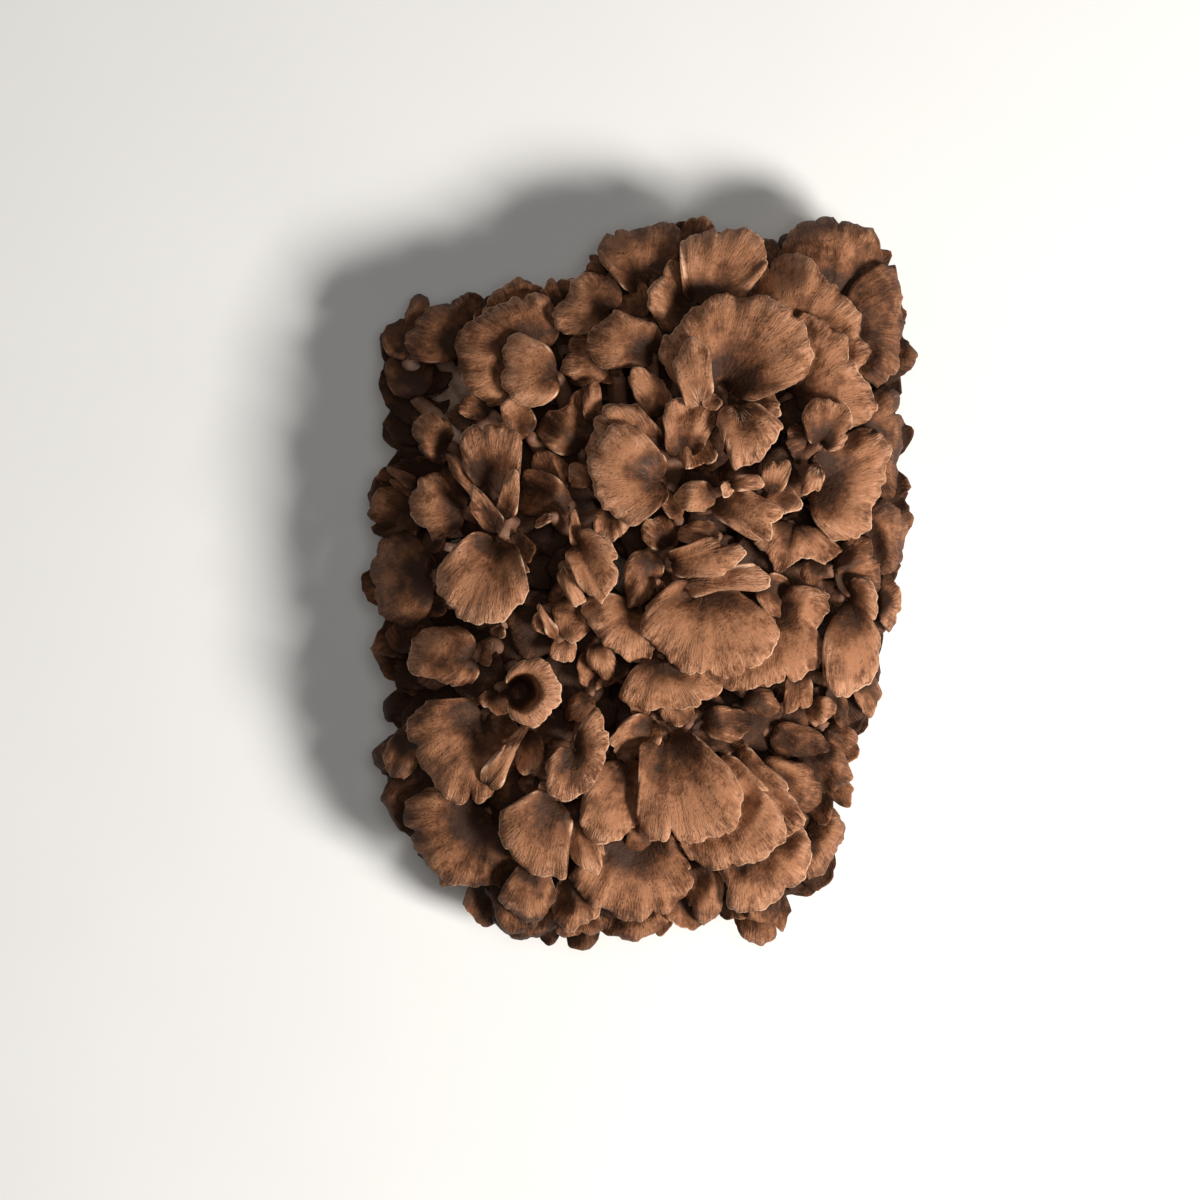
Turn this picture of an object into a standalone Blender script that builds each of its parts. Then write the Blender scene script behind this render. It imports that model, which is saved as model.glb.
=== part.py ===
"""A maitake cluster (hen of the woods): one white branching stem, cut flat at the foot, and its leaf-like caps.

Each cap is a thin fan on the tip of a branch. Its plan is the point where it leaves the branch and a few
points of its rim, joined by a smooth curve. Its height is the dome of the whole cluster, lowered by the cap's
level in the pile, and shaped from stalk to rim by its style. The caps are laid from the highest level down,
and each is pressed under those above it, so that they overlap like shingles without cutting each other.

Lengths are in millimetres until a mesh is made. +X is to the right, +Y to the back, +Z up, and the origin is
the middle of the cut foot, on the surface that the cluster stands on.
"""

import math

import bmesh
import bpy
import numpy as np
from mathutils.bvhtree import BVHTree

MM = 0.001

# The dome that the caps follow: its middle, the cluster's outline in plan, and its height there and at the edge.
DOME_MIDDLE = np.array([4.0, 2.0])
DOME_OUTLINE = ((57, 10), (58, 30), (58.5, 50), (56, 66), (50, 73), (43, 76), (36, 74), (28, 73.5), (16, 75.5),
                (2, 74.5), (-8, 70), (-15, 64), (-26, 62), (-40, 59), (-49, 54), (-53, 42), (-55, 25),
                (-54, 5), (-54, -15), (-53, -35), (-50, -50), (-44, -62), (-34, -70), (-24, -73.5),
                (-8, -74), (8, -73), (20, -72.5), (28, -74.5), (34, -69), (40, -61), (45, -50), (47, -38),
                (51, -27), (54, -14), (56, -2))
DOME_SPREAD = 1.05  # the dome's own edge lies this much farther out than the outline
DOME_TOP = 42.0
DOME_EDGE = 15.0
DOME_POWER = 2.8
LEVEL_STEP = 1.6  # how much lower each level of the pile starts

CAP_ROOT = 2.8  # a cap's thickness at its stalk
CAP_RIM = 1.5  # and at its rim
CAP_STEEP = 0.55  # a slope thins a cap as if its cosine were never less than this
CAP_GAP = 0.5  # clear height kept between two caps as they are laid
CUT_GAP = 0.35  # clear distance cut between pieces that would still touch
LOWEST = 4.0  # no cap's top is lower than this
NECK = 0.16  # a blade starts at this share of the way from its stalk to its rim
OPEN_FROM = 0.36  # nearer its stalk than this share, a cap dips between the others and presses on none
SPREAD = 0.5  # a pressed cap takes its next lines down by this share
CAP_LINES = (9, 3)  # steps along the rim, and from stalk to rim
SAMPLES = 10  # places looked at in each step, in both directions, when caps are laid
MAP_CELL = 0.5  # the grid on which the room under the laid caps is kept
MAP_HALF = 90.0

# The stem: half lengths of its cut foot and of the swelling over it, and the radius of a branch at both ends.
FOOT = (22.0, 26.0)
SWELLING = (26.0, 31.0)
SWELLING_HEIGHT = 8.0
SWELLING_TOP = 15.0
FORK_SHARE = 0.42  # a branch leaves the swelling at this share of the way out to its cap
FORK_HEIGHT = 9.0
BRANCH_ROOT = 4.2
BRANCH_TIP = 2.0
BRANCH_SIDES = 10
TIP_CLEAR = 0.8  # from the end of a branch to the cap over it
STEM_VOXEL = 1.3
STEM_TRIANGLES = 2600

TOP_COLOUR = (0.284, 0.123, 0.061)
EDGE_COLOUR = (0.200, 0.095, 0.050)
STEM_COLOUR = (0.560, 0.440, 0.330)

# style: how deep the stalk end lies below the blade, where the blade levels out, how far the rim turns down,
# and how far the two sides turn down, all but the second as shares of the cap's length
STYLES = {
    "fan": (0.30, 0.80, 0.09, 0.07),
    "flat": (0.18, 0.65, 0.07, 0.05),
    "cup": (1.10, 0.66, 0.10, 0.00),
    "dish": (0.50, 0.75, -0.03, -0.04),
    "hood": (0.12, 0.40, 0.30, 0.22),
}

# name, style, level in the pile, where it leaves its stalk, and points of its rim
CAPS = (
    ("crown_frond_1", "fan", 1.0, (18.5, 40.5), ((29, 38.6), (35.5, 42), (36.2, 49), (32, 55.8), (25, 58.4),
                                                  (16, 57.8), (9.8, 52.5), (5.6, 46), (8.5, 41))),
    ("crown_frond_2", "flat", 0.0, (14.0, 35.5), ((16, 42), (15.8, 47), (12.5, 49.1), (9.3, 46.8), (8.8, 42),
                                                   (10.5, 38))),
    ("crown_frond_3", "fan", 1.6, (5.0, 46.5), ((4.8, 52.8), (1, 54), (-2.8, 55), (-6, 53.2), (-8.4, 50),
                                                 (-8.8, 47), (-7.2, 44.6), (-3.5, 43.2), (1, 44.5))),
    ("crown_frond_4", "fan", 0.0, (6.5, 21.0), ((4.8, 15.2), (2.5, 12.5), (-0.5, 12), (-3.5, 13.5),
                                                 (-6.6, 17.3), (-8.1, 21.5), (-8, 25.5), (-5.5, 30), (-1.6, 32.8),
                                                 (0.8, 32), (4, 27.5))),
    ("crown_frond_5", "fan", 1.0, (5.0, 26.0), ((4, 33), (1.5, 35.7), (-3, 36.4), (-6.2, 35), (-7.4, 32),
                                                 (-8.4, 28), (-8.5, 24.5))),
    ("crown_frond_6", "dish", 0.3, (10.5, 25.5), ((15.4, 30), (17.5, 33.5), (13, 36.5), (8, 37.2), (6.6, 33.8),
                                                   (6.9, 29.5))),
    ("crown_frond_7", "fan", 0.2, (21.5, 35.8), ((17.2, 32.5), (17.9, 29.3), (19.6, 25.5), (20.8, 22.9),
                                                  (23.6, 23.6), (26.5, 25.7), (29, 28.5), (30.3, 32), (28, 33.8))),
    ("crown_frond_8", "dish", 0.6, (16.0, 18.0), ((20.5, 11.6), (22.5, 9.8), (25.5, 9), (28.2, 9.3),
                                                   (29, 11.8), (30.3, 14.8), (27.5, 17), (22, 19.8))),
    ("crown_frond_9", "flat", 0.2, (8.0, 4.5), ((12, 1.6), (18.5, 2), (21.6, 4.5), (22.7, 6.8), (21.3, 8.4),
                                                 (19.3, 7.8), (17.3, 9.4), (13, 8.6), (9.8, 6.8))),
    ("crown_frond_10", "flat", 0.5, (10.0, 0.5), ((16, -1.3), (21, -1), (25.6, -1.2), (28.3, 0.4), (27, 2.7),
                                                   (24.3, 4.3), (20, 2.8))),
    ("crown_frond_11", "flat", 0.9, (15.0, -0.5), ((5.5, -2.5), (2.9, -4.6), (2.2, -9), (5.2, -12.7), (9, -16),
                                                    (12, -18.5), (15.2, -17.2), (19, -18.8), (23.6, -17.8),
                                                    (27.3, -15), (29.1, -12), (29.5, -7.6), (25.5, -4.6),
                                                    (21, -1.8))),
    ("crown_frond_12", "fan", 0.0, (-10.5, 8.0), ((-12.6, 4), (-10.6, 0.3), (-7.6, -2.3), (-5.7, -3.7),
                                                   (-3.7, -0.8), (-2.2, 3), (-2.8, 6.5), (-5.3, 9.8), (-8.2, 11.4))),
    ("crown_frond_13", "fan", 1.6, (1.0, -4.0), ((-8.6, -2.4), (-9.8, -4.5), (-8.1, -8.3), (-5.5, -11.3),
                                                  (-2.5, -14), (0.5, -15.3), (3.8, -15), (5.2, -12.5))),
    ("crown_frond_14", "flat", 1.5, (6.5, -14.5), ((-1.6, -20.3), (-2.4, -22.4), (-1, -23.8), (2.5, -24.9),
                                                    (8, -24.8), (14, -24.1), (17.2, -22.3), (18.2, -20.5),
                                                    (14.5, -17))),
    ("north_frond_1", "fan", 2.0, (14.5, 55.0), ((23.5, 58.7), (27, 63.2), (28, 68), (25, 72.3), (20, 73.1),
                                                  (14.5, 72), (10.2, 68.9), (12, 64.6))),
    ("north_frond_2", "fan", 2.2, (12.5, 54.0), ((12.2, 64.4), (9.7, 65.8), (6, 63), (3.8, 59), (4, 55),
                                                  (6.6, 51.4))),
    ("north_frond_3", "fan", 3.0, (3.5, 60.0), ((10.4, 68.5), (9.6, 74.1), (2, 72.9), (-4.5, 72.3),
                                                 (-6.3, 70), (-6.2, 66.5), (-3, 63))),
    ("north_frond_4", "fan", 3.0, (-4.0, 55.0), ((-2.2, 61), (-4.2, 63), (-8, 63.7), (-10.9, 62.5),
                                                  (-13.5, 58), (-15.7, 54), (-14.5, 51.3), (-11.5, 50.2), (-8, 51))),
    ("north_frond_5", "flat", 3.0, (-3.0, 45.5), ((-4.5, 53.8), (-9, 52.6), (-11.6, 50), (-13, 46.5),
                                                   (-13.6, 43.6), (-12, 41.4), (-9, 39.8))),
    ("east_frond_1", "fan", 2.2, (32.5, 38.0), ((44.5, 31.4), (48, 33.2), (49.9, 35.8), (49.2, 39.5),
                                                 (46.5, 42.2), (46.2, 43.8), (44.5, 46), (43.5, 50), (40, 52.6),
                                                 (34.5, 55.2))),
    ("east_frond_2", "fan", 3.2, (31.0, 47.0), ((46.3, 43.7), (48.8, 47.3), (47, 50.5), (46.2, 55.5),
                                                 (42, 60.2), (38.5, 64.3), (34.5, 67.2), (30.5, 67.3), (26.5, 63.5),
                                                 (22.8, 58.6))),
    ("east_frond_3", "fan", 4.0, (42.0, 52.0), ((47, 42.3), (51, 40.3), (54.3, 43.5), (55.5, 49.5), (56, 56),
                                                 (55.3, 61.5), (54.2, 65.3), (51.5, 66))),
    ("east_frond_4", "fan", 4.3, (41.0, 54.0), ((52.3, 65.5), (51.8, 69.5), (50, 72.5), (46, 74.4), (41, 75.6),
                                                 (36.5, 75), (32.5, 71.8), (30.2, 67.3))),
    ("east_frond_5", "hood", 5.0, (46.5, 30.0), ((49.5, 16.2), (53, 17.3), (54.9, 20.5), (55.2, 26),
                                                  (56.4, 30.5), (56, 35), (54.6, 40.5), (51, 41))),
    ("east_frond_6", "flat", 1.0, (38.2, 28.6), ((42, 27.1), (44.3, 30.3), (44.7, 33.5), (43, 36.2),
                                                  (39.5, 37.4), (36, 36.6), (34.3, 33.5), (35, 30))),
    ("east_frond_7", "fan", 2.2, (36.5, 20.0), ((41, 8.8), (46, 9.4), (48.8, 12.5), (49.6, 16.6), (52, 20.5),
                                                 (52.3, 24.5), (53, 28.3), (50.5, 31.4), (46.5, 31.8), (41, 29))),
    ("east_frond_8", "fan", 1.1, (44.0, -2.5), ((38.8, -18.5), (40.4, -21.7), (43.5, -22.6), (47, -21),
                                                 (49.5, -18.6), (50.8, -13.5), (50.4, -7), (50, -2.8), (48.6, 1.5))),
    ("east_frond_9", "fan", 2.0, (28.0, -4.5), ((14.5, -17.5), (16.5, -20), (20.3, -21.6), (25, -20.5),
                                                 (30, -20), (34.5, -18.6), (38.2, -16), (39.6, -13), (38.2, -9.8),
                                                 (38.7, -6.8), (40.2, -4.8), (38, -0.8))),
    ("east_frond_10", "fan", 2.6, (33.0, 12.5), ((24.2, 10), (26, 7.5), (28, 4.8), (29.9, 2.1), (32.2, 3.9),
                                                  (36, 5.1), (40, 4.5), (43, 7))),
    ("east_frond_11", "hood", 3.4, (41.0, 3.0), ((46.5, -3.8), (50.2, -2.4), (51, 1.5), (50.3, 5.5),
                                                  (48.6, 9.4), (46, 10.4))),
    ("south_frond_1", "fan", 0.5, (7.0, -30.5), ((2.2, -36.5), (1.6, -42), (1.7, -48), (4.5, -51.2),
                                                  (9.5, -51.8), (15.5, -51.3), (20.3, -49.8), (22.4, -45.5),
                                                  (21.9, -39.8), (19, -35.3), (13.5, -32.3))),
    ("south_frond_2", "fan", 1.3, (-1.0, -35.0), ((-9.2, -40.5), (-9.9, -45.5), (-9.5, -49.7), (-5.2, -51.9),
                                                   (-1, -50.5), (1.7, -47.5), (1.3, -43), (0.8, -38))),
    ("south_frond_3", "flat", 1.5, (-14.5, -43.0), ((-22, -43.5), (-25.4, -45.1), (-26.7, -48.3), (-25, -52.5),
                                                     (-22, -56.6), (-18, -58.5), (-13.3, -59.2), (-12.8, -52))),
    ("south_frond_4", "flat", 1.7, (15.0, -37.0), ((10.2, -52.7), (13, -56), (19, -57.2), (25, -55.9),
                                                    (29, -53.8), (31.2, -51.4), (31, -47), (28.5, -41.5),
                                                    (24, -37.2))),
    ("south_frond_5", "flat", 2.4, (20.0, -34.5), ((30.3, -51.5), (33, -50.7), (35.2, -48), (33.6, -43.5),
                                                    (30.5, -38.8), (26, -35.2))),
    ("south_frond_6", "hood", 3.0, (26.0, -38.0), ((35.3, -47.9), (37.2, -45.8), (39.2, -42.5), (38.7, -39.3),
                                                    (36.3, -36.6), (31, -34.8))),
    ("south_frond_7", "fan", 2.7, (24.0, -50.0), ((17.8, -57.3), (19.8, -62), (19.5, -64.5), (22.3, -66.7),
                                                   (27, -65.7), (31, -63.2), (34.8, -60), (37, -56.5),
                                                   (36.6, -52.5), (35, -48.8))),
    ("south_frond_8", "fan", 2.7, (2.0, -50.0), ((-12.4, -59.2), (-9.8, -63), (-5, -66), (-1, -68.1),
                                                  (4, -68.2), (8.3, -66), (11.8, -62.5), (13.1, -59.4),
                                                  (11.9, -55.6), (9.9, -52.8))),
    ("south_frond_9", "hood", 3.0, (-19.5, -56.5), ((-24, -59.5), (-26.4, -62.3), (-25.8, -65.3),
                                                     (-22.5, -67.8), (-19, -68.5), (-16.4, -66.5), (-15.1, -63.5),
                                                     (-15.8, -59.8))),
    ("south_frond_10", "hood", 4.6, (36.0, -48.5), ((36.6, -60.6), (40.2, -58.7), (42.6, -55.3), (44.2, -51.5),
                                                     (44, -48), (42, -45.6))),
    ("south_frond_11", "flat", 0.0, (-11.0, -33.0), ((-15.5, -33.7), (-17.1, -36.9), (-16.9, -40.3),
                                                      (-12.4, -43.2), (-7.3, -39.7), (-4.3, -31.6), (-5, -27),
                                                      (-7, -24.4), (-9, -28))),
    ("west_frond_1", "fan", 3.0, (-18.0, 46.5), ((-15.2, 56), (-16.4, 58.8), (-20.5, 59.2), (-25.5, 57.8),
                                                  (-30, 55), (-34.3, 51.8), (-35.3, 47), (-34.2, 42), (-31.5, 38.2),
                                                  (-28.3, 36.5), (-24.8, 35.8))),
    ("west_frond_2", "flat", 2.0, (-14.5, 42.5), ((-20, 50), (-22.6, 51), (-24.4, 49.7), (-25.6, 46.5),
                                                   (-25.8, 42.5), (-24.8, 38.5), (-22.3, 36.2), (-17.5, 36))),
    ("west_frond_3", "fan", 4.6, (-30.5, 48.5), ((-29, 58.3), (-32.5, 60), (-35.5, 58.4), (-39, 57.4),
                                                  (-43, 55), (-45.5, 51.5), (-45, 46))),
    ("west_frond_4", "hood", 3.6, (-36.5, 28.5), ((-36.3, 33), (-39, 35), (-42.5, 34.6), (-44, 31.5),
                                                   (-43.2, 28), (-41, 25.6), (-38, 24.4))),
    ("west_frond_5", "fan", 3.4, (-33.5, 15.0), ((-34.5, 23), (-38, 23.5), (-41.2, 22), (-44, 19), (-44.8, 16),
                                                  (-43.6, 13.5), (-41.3, 11.2), (-39.8, 9), (-37, 9.6))),
    ("west_frond_6", "fan", 2.0, (-27.0, 18.0), ((-22, 24), (-21.4, 27), (-22, 29.6), (-24.2, 31.6),
                                                  (-28, 32.5), (-32, 31.8), (-34.3, 30), (-33.8, 27))),
    ("west_frond_7", "fan", 1.0, (-26.5, 9.0), ((-34.5, 7.8), (-38, 5.2), (-38.9, 1.5), (-37.4, -3),
                                                 (-34, -6.6), (-30, -8), (-26, -7.4), (-23.4, -5.4), (-20.8, -2.8),
                                                 (-20.3, 0), (-22, 3.2))),
    ("west_frond_8", "fan", 2.0, (-12.0, 16.0), ((-15, 14), (-19, 13.9), (-22.4, 14.8), (-22.9, 18),
                                                  (-22.2, 21), (-20.3, 23.3), (-17.5, 23))),
    ("west_frond_9", "fan", 2.2, (-9.5, 27.0), ((-6.2, 38.3), (-8, 40.6), (-11, 38.3), (-13.4, 35.9),
                                                 (-16.3, 34.7), (-18.1, 32.5), (-18.6, 30), (-17, 28))),
    ("west_frond_10", "cup", 0.4, (-22.8, -21.3), ((-23.6, -26.9), (-20, -28.2), (-17.4, -27.5), (-14.9, -25),
                                                    (-13.7, -22), (-14.2, -18.8), (-16, -16), (-19, -14.6),
                                                    (-22, -15.2), (-24.2, -17.2))),
    ("west_frond_11", "fan", 2.2, (-29.5, -27.0), ((-37, -23.2), (-41.5, -23.8), (-44.9, -27.5), (-44.8, -32),
                                                    (-41.8, -36.8), (-38, -42), (-33, -44.6), (-28.5, -42.8),
                                                    (-25, -38), (-21.7, -33.5), (-21.3, -30.8), (-23.5, -28))),
    ("west_frond_12", "hood", 2.7, (-31.5, -14.5), ((-33.5, -8.6), (-38, -8.1), (-42, -9.3), (-44.4, -12),
                                                     (-45, -15.5), (-43.5, -18.2), (-40, -18.9), (-36, -20.3),
                                                     (-32, -20.1))),
    ("west_frond_13", "fan", 4.2, (-28.5, -47.0), ((-41, -41), (-45.4, -44), (-46, -48.5), (-43, -54.5),
                                                    (-39, -59.5), (-34, -61.6), (-29.5, -61.2), (-26.8, -62),
                                                    (-23.5, -59.5), (-22, -56))),
    ("skirt_frond_1", "hood", 4.0, (46.5, 9.5), ((50, 1.5), (54, 3), (56.5, 7), (57, 11.5), (55, 16),
                                                 (51.5, 18))),
    ("skirt_frond_2", "flat", 5.5, (1.0, -60.0), ((-7, -66.5), (-5.5, -71), (-1, -72.8), (4, -72), (7.5, -69.5),
                                                  (8.5, -65.5))),
    ("skirt_frond_3", "hood", 5.5, (-20.0, -60.0), ((-28.5, -66), (-27.5, -70.5), (-23, -72.8), (-18, -72.4),
                                                    (-14.5, -70))),
    ("skirt_frond_4", "hood", 4.5, (-40.0, 2.0), ((-44, -9), (-49, -7.5), (-52.5, -2), (-53, 3.5), (-51, 9),
                                                  (-46, 11.5))),
    ("skirt_frond_5", "flat", 5.5, (26.0, -60.0), ((20.5, -67), (22.5, -71), (27, -74.2), (31, -72),
                                                   (33.5, -67))),
)


def smooth_rim(points, count):
    """Places evenly spaced along a rim: a cubic in the distance along it, through each of its points."""
    knots = np.array(points, float)
    step = np.linalg.norm(np.diff(knots, axis=0), axis=1)
    along = np.concatenate(([0.0], np.cumsum(step)))
    slope = np.gradient(knots, along, axis=0)
    place = np.linspace(0.0, along[-1], count)
    k = np.clip(np.searchsorted(along, place, side="right") - 1, 0, len(step) - 1)
    length = step[k][:, None]
    w = (place - along[k])[:, None] / length
    start = (1 + 2 * w) * (1 - w) ** 2 * knots[k] + w * (1 - w) ** 2 * length * slope[k]
    return start + w**2 * (3 - 2 * w) * knots[k + 1] + w**2 * (w - 1) * length * slope[k + 1]


def reach_of_outline(turn):
    """How far the outline is from the dome's middle in a direction, straight between its points."""
    points = np.array(DOME_OUTLINE, float) - DOME_MIDDLE
    turns = np.arctan2(points[:, 1], points[:, 0]) % (2 * math.pi)
    order = np.argsort(turns)
    return np.interp(turn, turns[order], np.hypot(*points[order].T), period=2 * math.pi)


def dome(place):
    """Height of the whole cluster over places in plan: a level top that falls ever more steeply to its edge."""
    run = place - DOME_MIDDLE
    turn = np.arctan2(run[..., 1], run[..., 0])
    out = np.linalg.norm(run, axis=-1) / (DOME_SPREAD * reach_of_outline(turn))
    fall = np.sqrt(1.0 - np.clip(out, 0.0, 1.0) ** DOME_POWER)
    return DOME_EDGE + (DOME_TOP - DOME_EDGE) * fall - 12.0 * np.clip(out - 1.0, 0.0, None)


class Cap:
    """One cap: the plan and the height of its top on a grid of lines from its stalk and lines along its rim."""

    def __init__(self, name, style, level, root, rim):
        self.name = name
        self.level = level
        along, across = CAP_LINES
        edge = smooth_rim(rim, along + 1)
        start = np.array(root, float)
        u = np.linspace(-1.0, 1.0, along + 1)[:, None]
        self.v = np.linspace(NECK, 1.0, across + 1)
        v = self.v[None, :]
        self.plan = start + v[..., None] * (edge[:, None, :] - start)
        size = np.median(np.linalg.norm(edge - start, axis=1))
        dip, level_from, droop, sides = STYLES[style]
        shape = -dip * np.clip(1.0 - v / level_from, 0.0, None) ** 1.6 * np.ones_like(u)
        shape = shape - droop * np.clip((v - 0.55) / 0.45, 0.0, None) ** 2 - sides * np.abs(u) ** 3 * v
        self.top = dome(self.plan) - LEVEL_STEP * level + size * shape

    def thickness(self):
        """Height from a cap's underside to its top, so that a steep part is as thick as a level one."""
        rise = np.gradient(self.top, axis=1)
        run = np.linalg.norm(np.gradient(self.plan, axis=1), axis=-1)
        slope = np.abs(rise) / np.maximum(run, 0.1)
        cosine = np.maximum(1.0 / np.sqrt(1.0 + slope**2), CAP_STEEP)
        thin = (self.v - NECK) / (1.0 - NECK)
        return (CAP_ROOT + (CAP_RIM - CAP_ROOT) * thin)[None, :] / cosine

    def underside(self):
        return self.top - self.thickness()


def between(count):
    """Weights that give SAMPLES places in each of count steps, ends included, from the values at its lines."""
    place = (np.arange(count * SAMPLES) + 0.5) / SAMPLES
    line = np.arange(count + 1)
    return np.clip(1.0 - np.abs(place[:, None] - line[None, :]), 0.0, None)


def sampled(cap, values):
    """A cap's values at all its sample places."""
    along, across = CAP_LINES
    return np.einsum("ai,ij...,bj->ab...", between(along), values, between(across))


def map_index(place):
    """Row and column of places in plan on the map of the room under the laid caps."""
    cell = np.rint((place + MAP_HALF) / MAP_CELL).astype(int)
    return cell[..., 1], cell[..., 0]


def press(cap, room):
    """Lower a cap until it passes under all that is laid, and the lines next to it by part of that."""
    along, across = CAP_LINES
    reach = sampled(cap, np.broadcast_to(cap.v, cap.top.shape))
    over = sampled(cap, cap.top) - (room[map_index(sampled(cap, cap.plan))] - CAP_GAP)
    over = np.where(reach > OPEN_FROM, over, 0.0).clip(0.0)
    step = over.reshape(along, SAMPLES, across, SAMPLES).max(axis=(1, 3))
    padded = np.pad(step, 1)
    drop = np.maximum.reduce([padded[:-1, :-1], padded[1:, :-1], padded[:-1, 1:], padded[1:, 1:]])
    for _ in range(3):
        near = np.pad(drop, 1, mode="edge")
        spread = np.maximum.reduce([near[:-2, 1:-1], near[2:, 1:-1], near[1:-1, :-2], near[1:-1, 2:]])
        drop = np.maximum(drop, SPREAD * spread)
    cap.top = np.maximum(cap.top - drop, LOWEST)


def lay(cap, room):
    """Enter the underside of a cap's blade on the map, and one cell all round it."""
    under = np.full_like(room, np.inf)
    reach = sampled(cap, np.broadcast_to(cap.v, cap.top.shape))
    blade = reach > OPEN_FROM
    row, column = map_index(sampled(cap, cap.plan))
    np.minimum.at(under, (row[blade], column[blade]), sampled(cap, cap.underside())[blade])
    near = np.pad(under, 1, constant_values=np.inf)
    height, width = room.shape
    for down in range(3):
        for across in range(3):
            np.minimum(room, near[down:down + height, across:across + width], out=room)


def closed_mesh(name, points, faces):
    """A mesh of triangles in metres, facing out, from points in millimetres."""
    mesh = bpy.data.meshes.new(name)
    mesh.from_pydata((np.asarray(points) * MM).tolist(), [], faces)
    mesh.update()
    work = bmesh.new()
    work.from_mesh(mesh)
    bmesh.ops.triangulate(work, faces=work.faces)
    bmesh.ops.recalc_face_normals(work, faces=work.faces)
    if work.calc_volume(signed=True) < 0:
        bmesh.ops.reverse_faces(work, faces=work.faces)
    work.to_mesh(mesh)
    work.free()
    return mesh


def cap_mesh(cap):
    """The closed solid between a cap's top and its underside."""
    rows, columns = cap.top.shape
    top = np.dstack([cap.plan, cap.top]).reshape(-1, 3)
    under = np.dstack([cap.plan, cap.underside()]).reshape(-1, 3)
    number = np.arange(rows * columns).reshape(rows, columns)
    low = number + rows * columns
    quads = np.stack([number[:-1, :-1], number[1:, :-1], number[1:, 1:], number[:-1, 1:]], -1).reshape(-1, 4)
    back = np.stack([low[:-1, :-1], low[:-1, 1:], low[1:, 1:], low[1:, :-1]], -1).reshape(-1, 4)
    ring = np.concatenate([number[:-1, 0], number[-1, :-1], number[:0:-1, -1], number[0, :0:-1]])
    after = np.roll(ring, -1)
    shift = rows * columns
    sides = np.stack([ring, ring + shift, after + shift, after], -1)
    faces = np.concatenate([quads, back, sides]).tolist()
    return closed_mesh(cap.name, np.concatenate([top, under]), faces)


def tube(start, end, thick, thin, bend):
    """A tapering branch with rounded ends, as points and faces: circles square to the way it runs."""
    lines = 8
    t = np.linspace(0.0, 1.0, lines + 1)
    start = np.array(start, float)
    end = np.array(end, float)
    middle = 0.5 * (start + end) + np.array([0.0, 0.0, bend])
    way = ((1 - t) ** 2)[:, None] * start + (2 * t * (1 - t))[:, None] * middle + (t**2)[:, None] * end
    run = np.gradient(way, axis=0)
    run = run / np.linalg.norm(run, axis=1)[:, None]
    side = np.cross(run, np.array([0.31, 0.95, 0.05]))
    side = side / np.linalg.norm(side, axis=1)[:, None]
    up = np.cross(side, run)
    radius = thick + (thin - thick) * t
    turn = np.linspace(0.0, 2 * math.pi, BRANCH_SIDES, endpoint=False)
    circle = np.cos(turn)[None, :, None] * side[:, None, :] + np.sin(turn)[None, :, None] * up[:, None, :]
    points = way[:, None, :] + radius[:, None, None] * circle
    number = np.arange(points.shape[0] * BRANCH_SIDES).reshape(points.shape[0], BRANCH_SIDES)
    after = np.roll(number, -1, axis=1)
    walls = np.stack([number[:-1], after[:-1], after[1:], number[1:]], -1).reshape(-1, 4)
    ends = [number[0, ::-1].tolist(), number[-1].tolist()]
    return points.reshape(-1, 3), walls.tolist() + ends


def islands(work):
    """The connected parts of a bmesh, each as a list of faces."""
    left = set(work.faces)
    parts = []
    while left:
        front = [left.pop()]
        part = list(front)
        while front:
            face = front.pop()
            for edge in face.edges:
                for other in edge.link_faces:
                    if other in left:
                        left.remove(other)
                        part.append(other)
                        front.append(other)
        parts.append(part)
    return parts


def size_of(part):
    """The volume that a part closes: a sum over its triangles."""
    total = 0.0
    for face in part:
        a, b, c = (corner.vert.co for corner in face.loops)
        total += a.dot(b.cross(c)) / 6.0
    return total


def tidy(mesh):
    """Merge what a cut left doubled, and keep only the largest of the parts."""
    work = bmesh.new()
    work.from_mesh(mesh)
    bmesh.ops.remove_doubles(work, verts=work.verts, dist=0.00002)
    bmesh.ops.dissolve_degenerate(work, edges=work.edges, dist=0.00002)
    bmesh.ops.triangulate(work, faces=work.faces)
    parts = sorted(islands(work), key=size_of)
    lost = [face for part in parts[:-1] for face in part]
    bmesh.ops.delete(work, geom=lost, context="FACES")
    bmesh.ops.delete(work, geom=[v for v in work.verts if not v.link_faces], context="VERTS")
    open_edges = sum(1 for edge in work.edges if len(edge.link_faces) != 2)
    work.to_mesh(mesh)
    work.free()
    mesh.update()
    return open_edges


def add_object(name, mesh):
    item = bpy.data.objects.new(name, mesh)
    bpy.context.scene.collection.objects.link(item)
    return item


def replace_mesh(item, modifier_type, **settings):
    """Give an object the mesh that one modifier makes of it."""
    modifier = item.modifiers.new("step", modifier_type)
    for key, value in settings.items():
        setattr(modifier, key, value)
    view = bpy.context.evaluated_depsgraph_get()
    mesh = bpy.data.meshes.new_from_object(item.evaluated_get(view))
    item.modifiers.remove(modifier)
    mesh.name = item.name
    item.data = mesh


def grown(mesh):
    """A copy of a mesh, larger by the cut gap on all sides."""
    copy = mesh.copy()
    place = np.empty(len(copy.vertices) * 3)
    normal = np.empty(len(copy.vertices) * 3)
    copy.vertices.foreach_get("co", place)
    copy.vertices.foreach_get("normal", normal)
    copy.vertices.foreach_set("co", place + CUT_GAP * MM * normal)
    copy.update()
    return copy


def tree_of(mesh):
    """The tree that finds where a mesh touches another."""
    points = [vertex.co.copy() for vertex in mesh.vertices]
    return BVHTree.FromPolygons(points, [list(face.vertices) for face in mesh.polygons])


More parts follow.
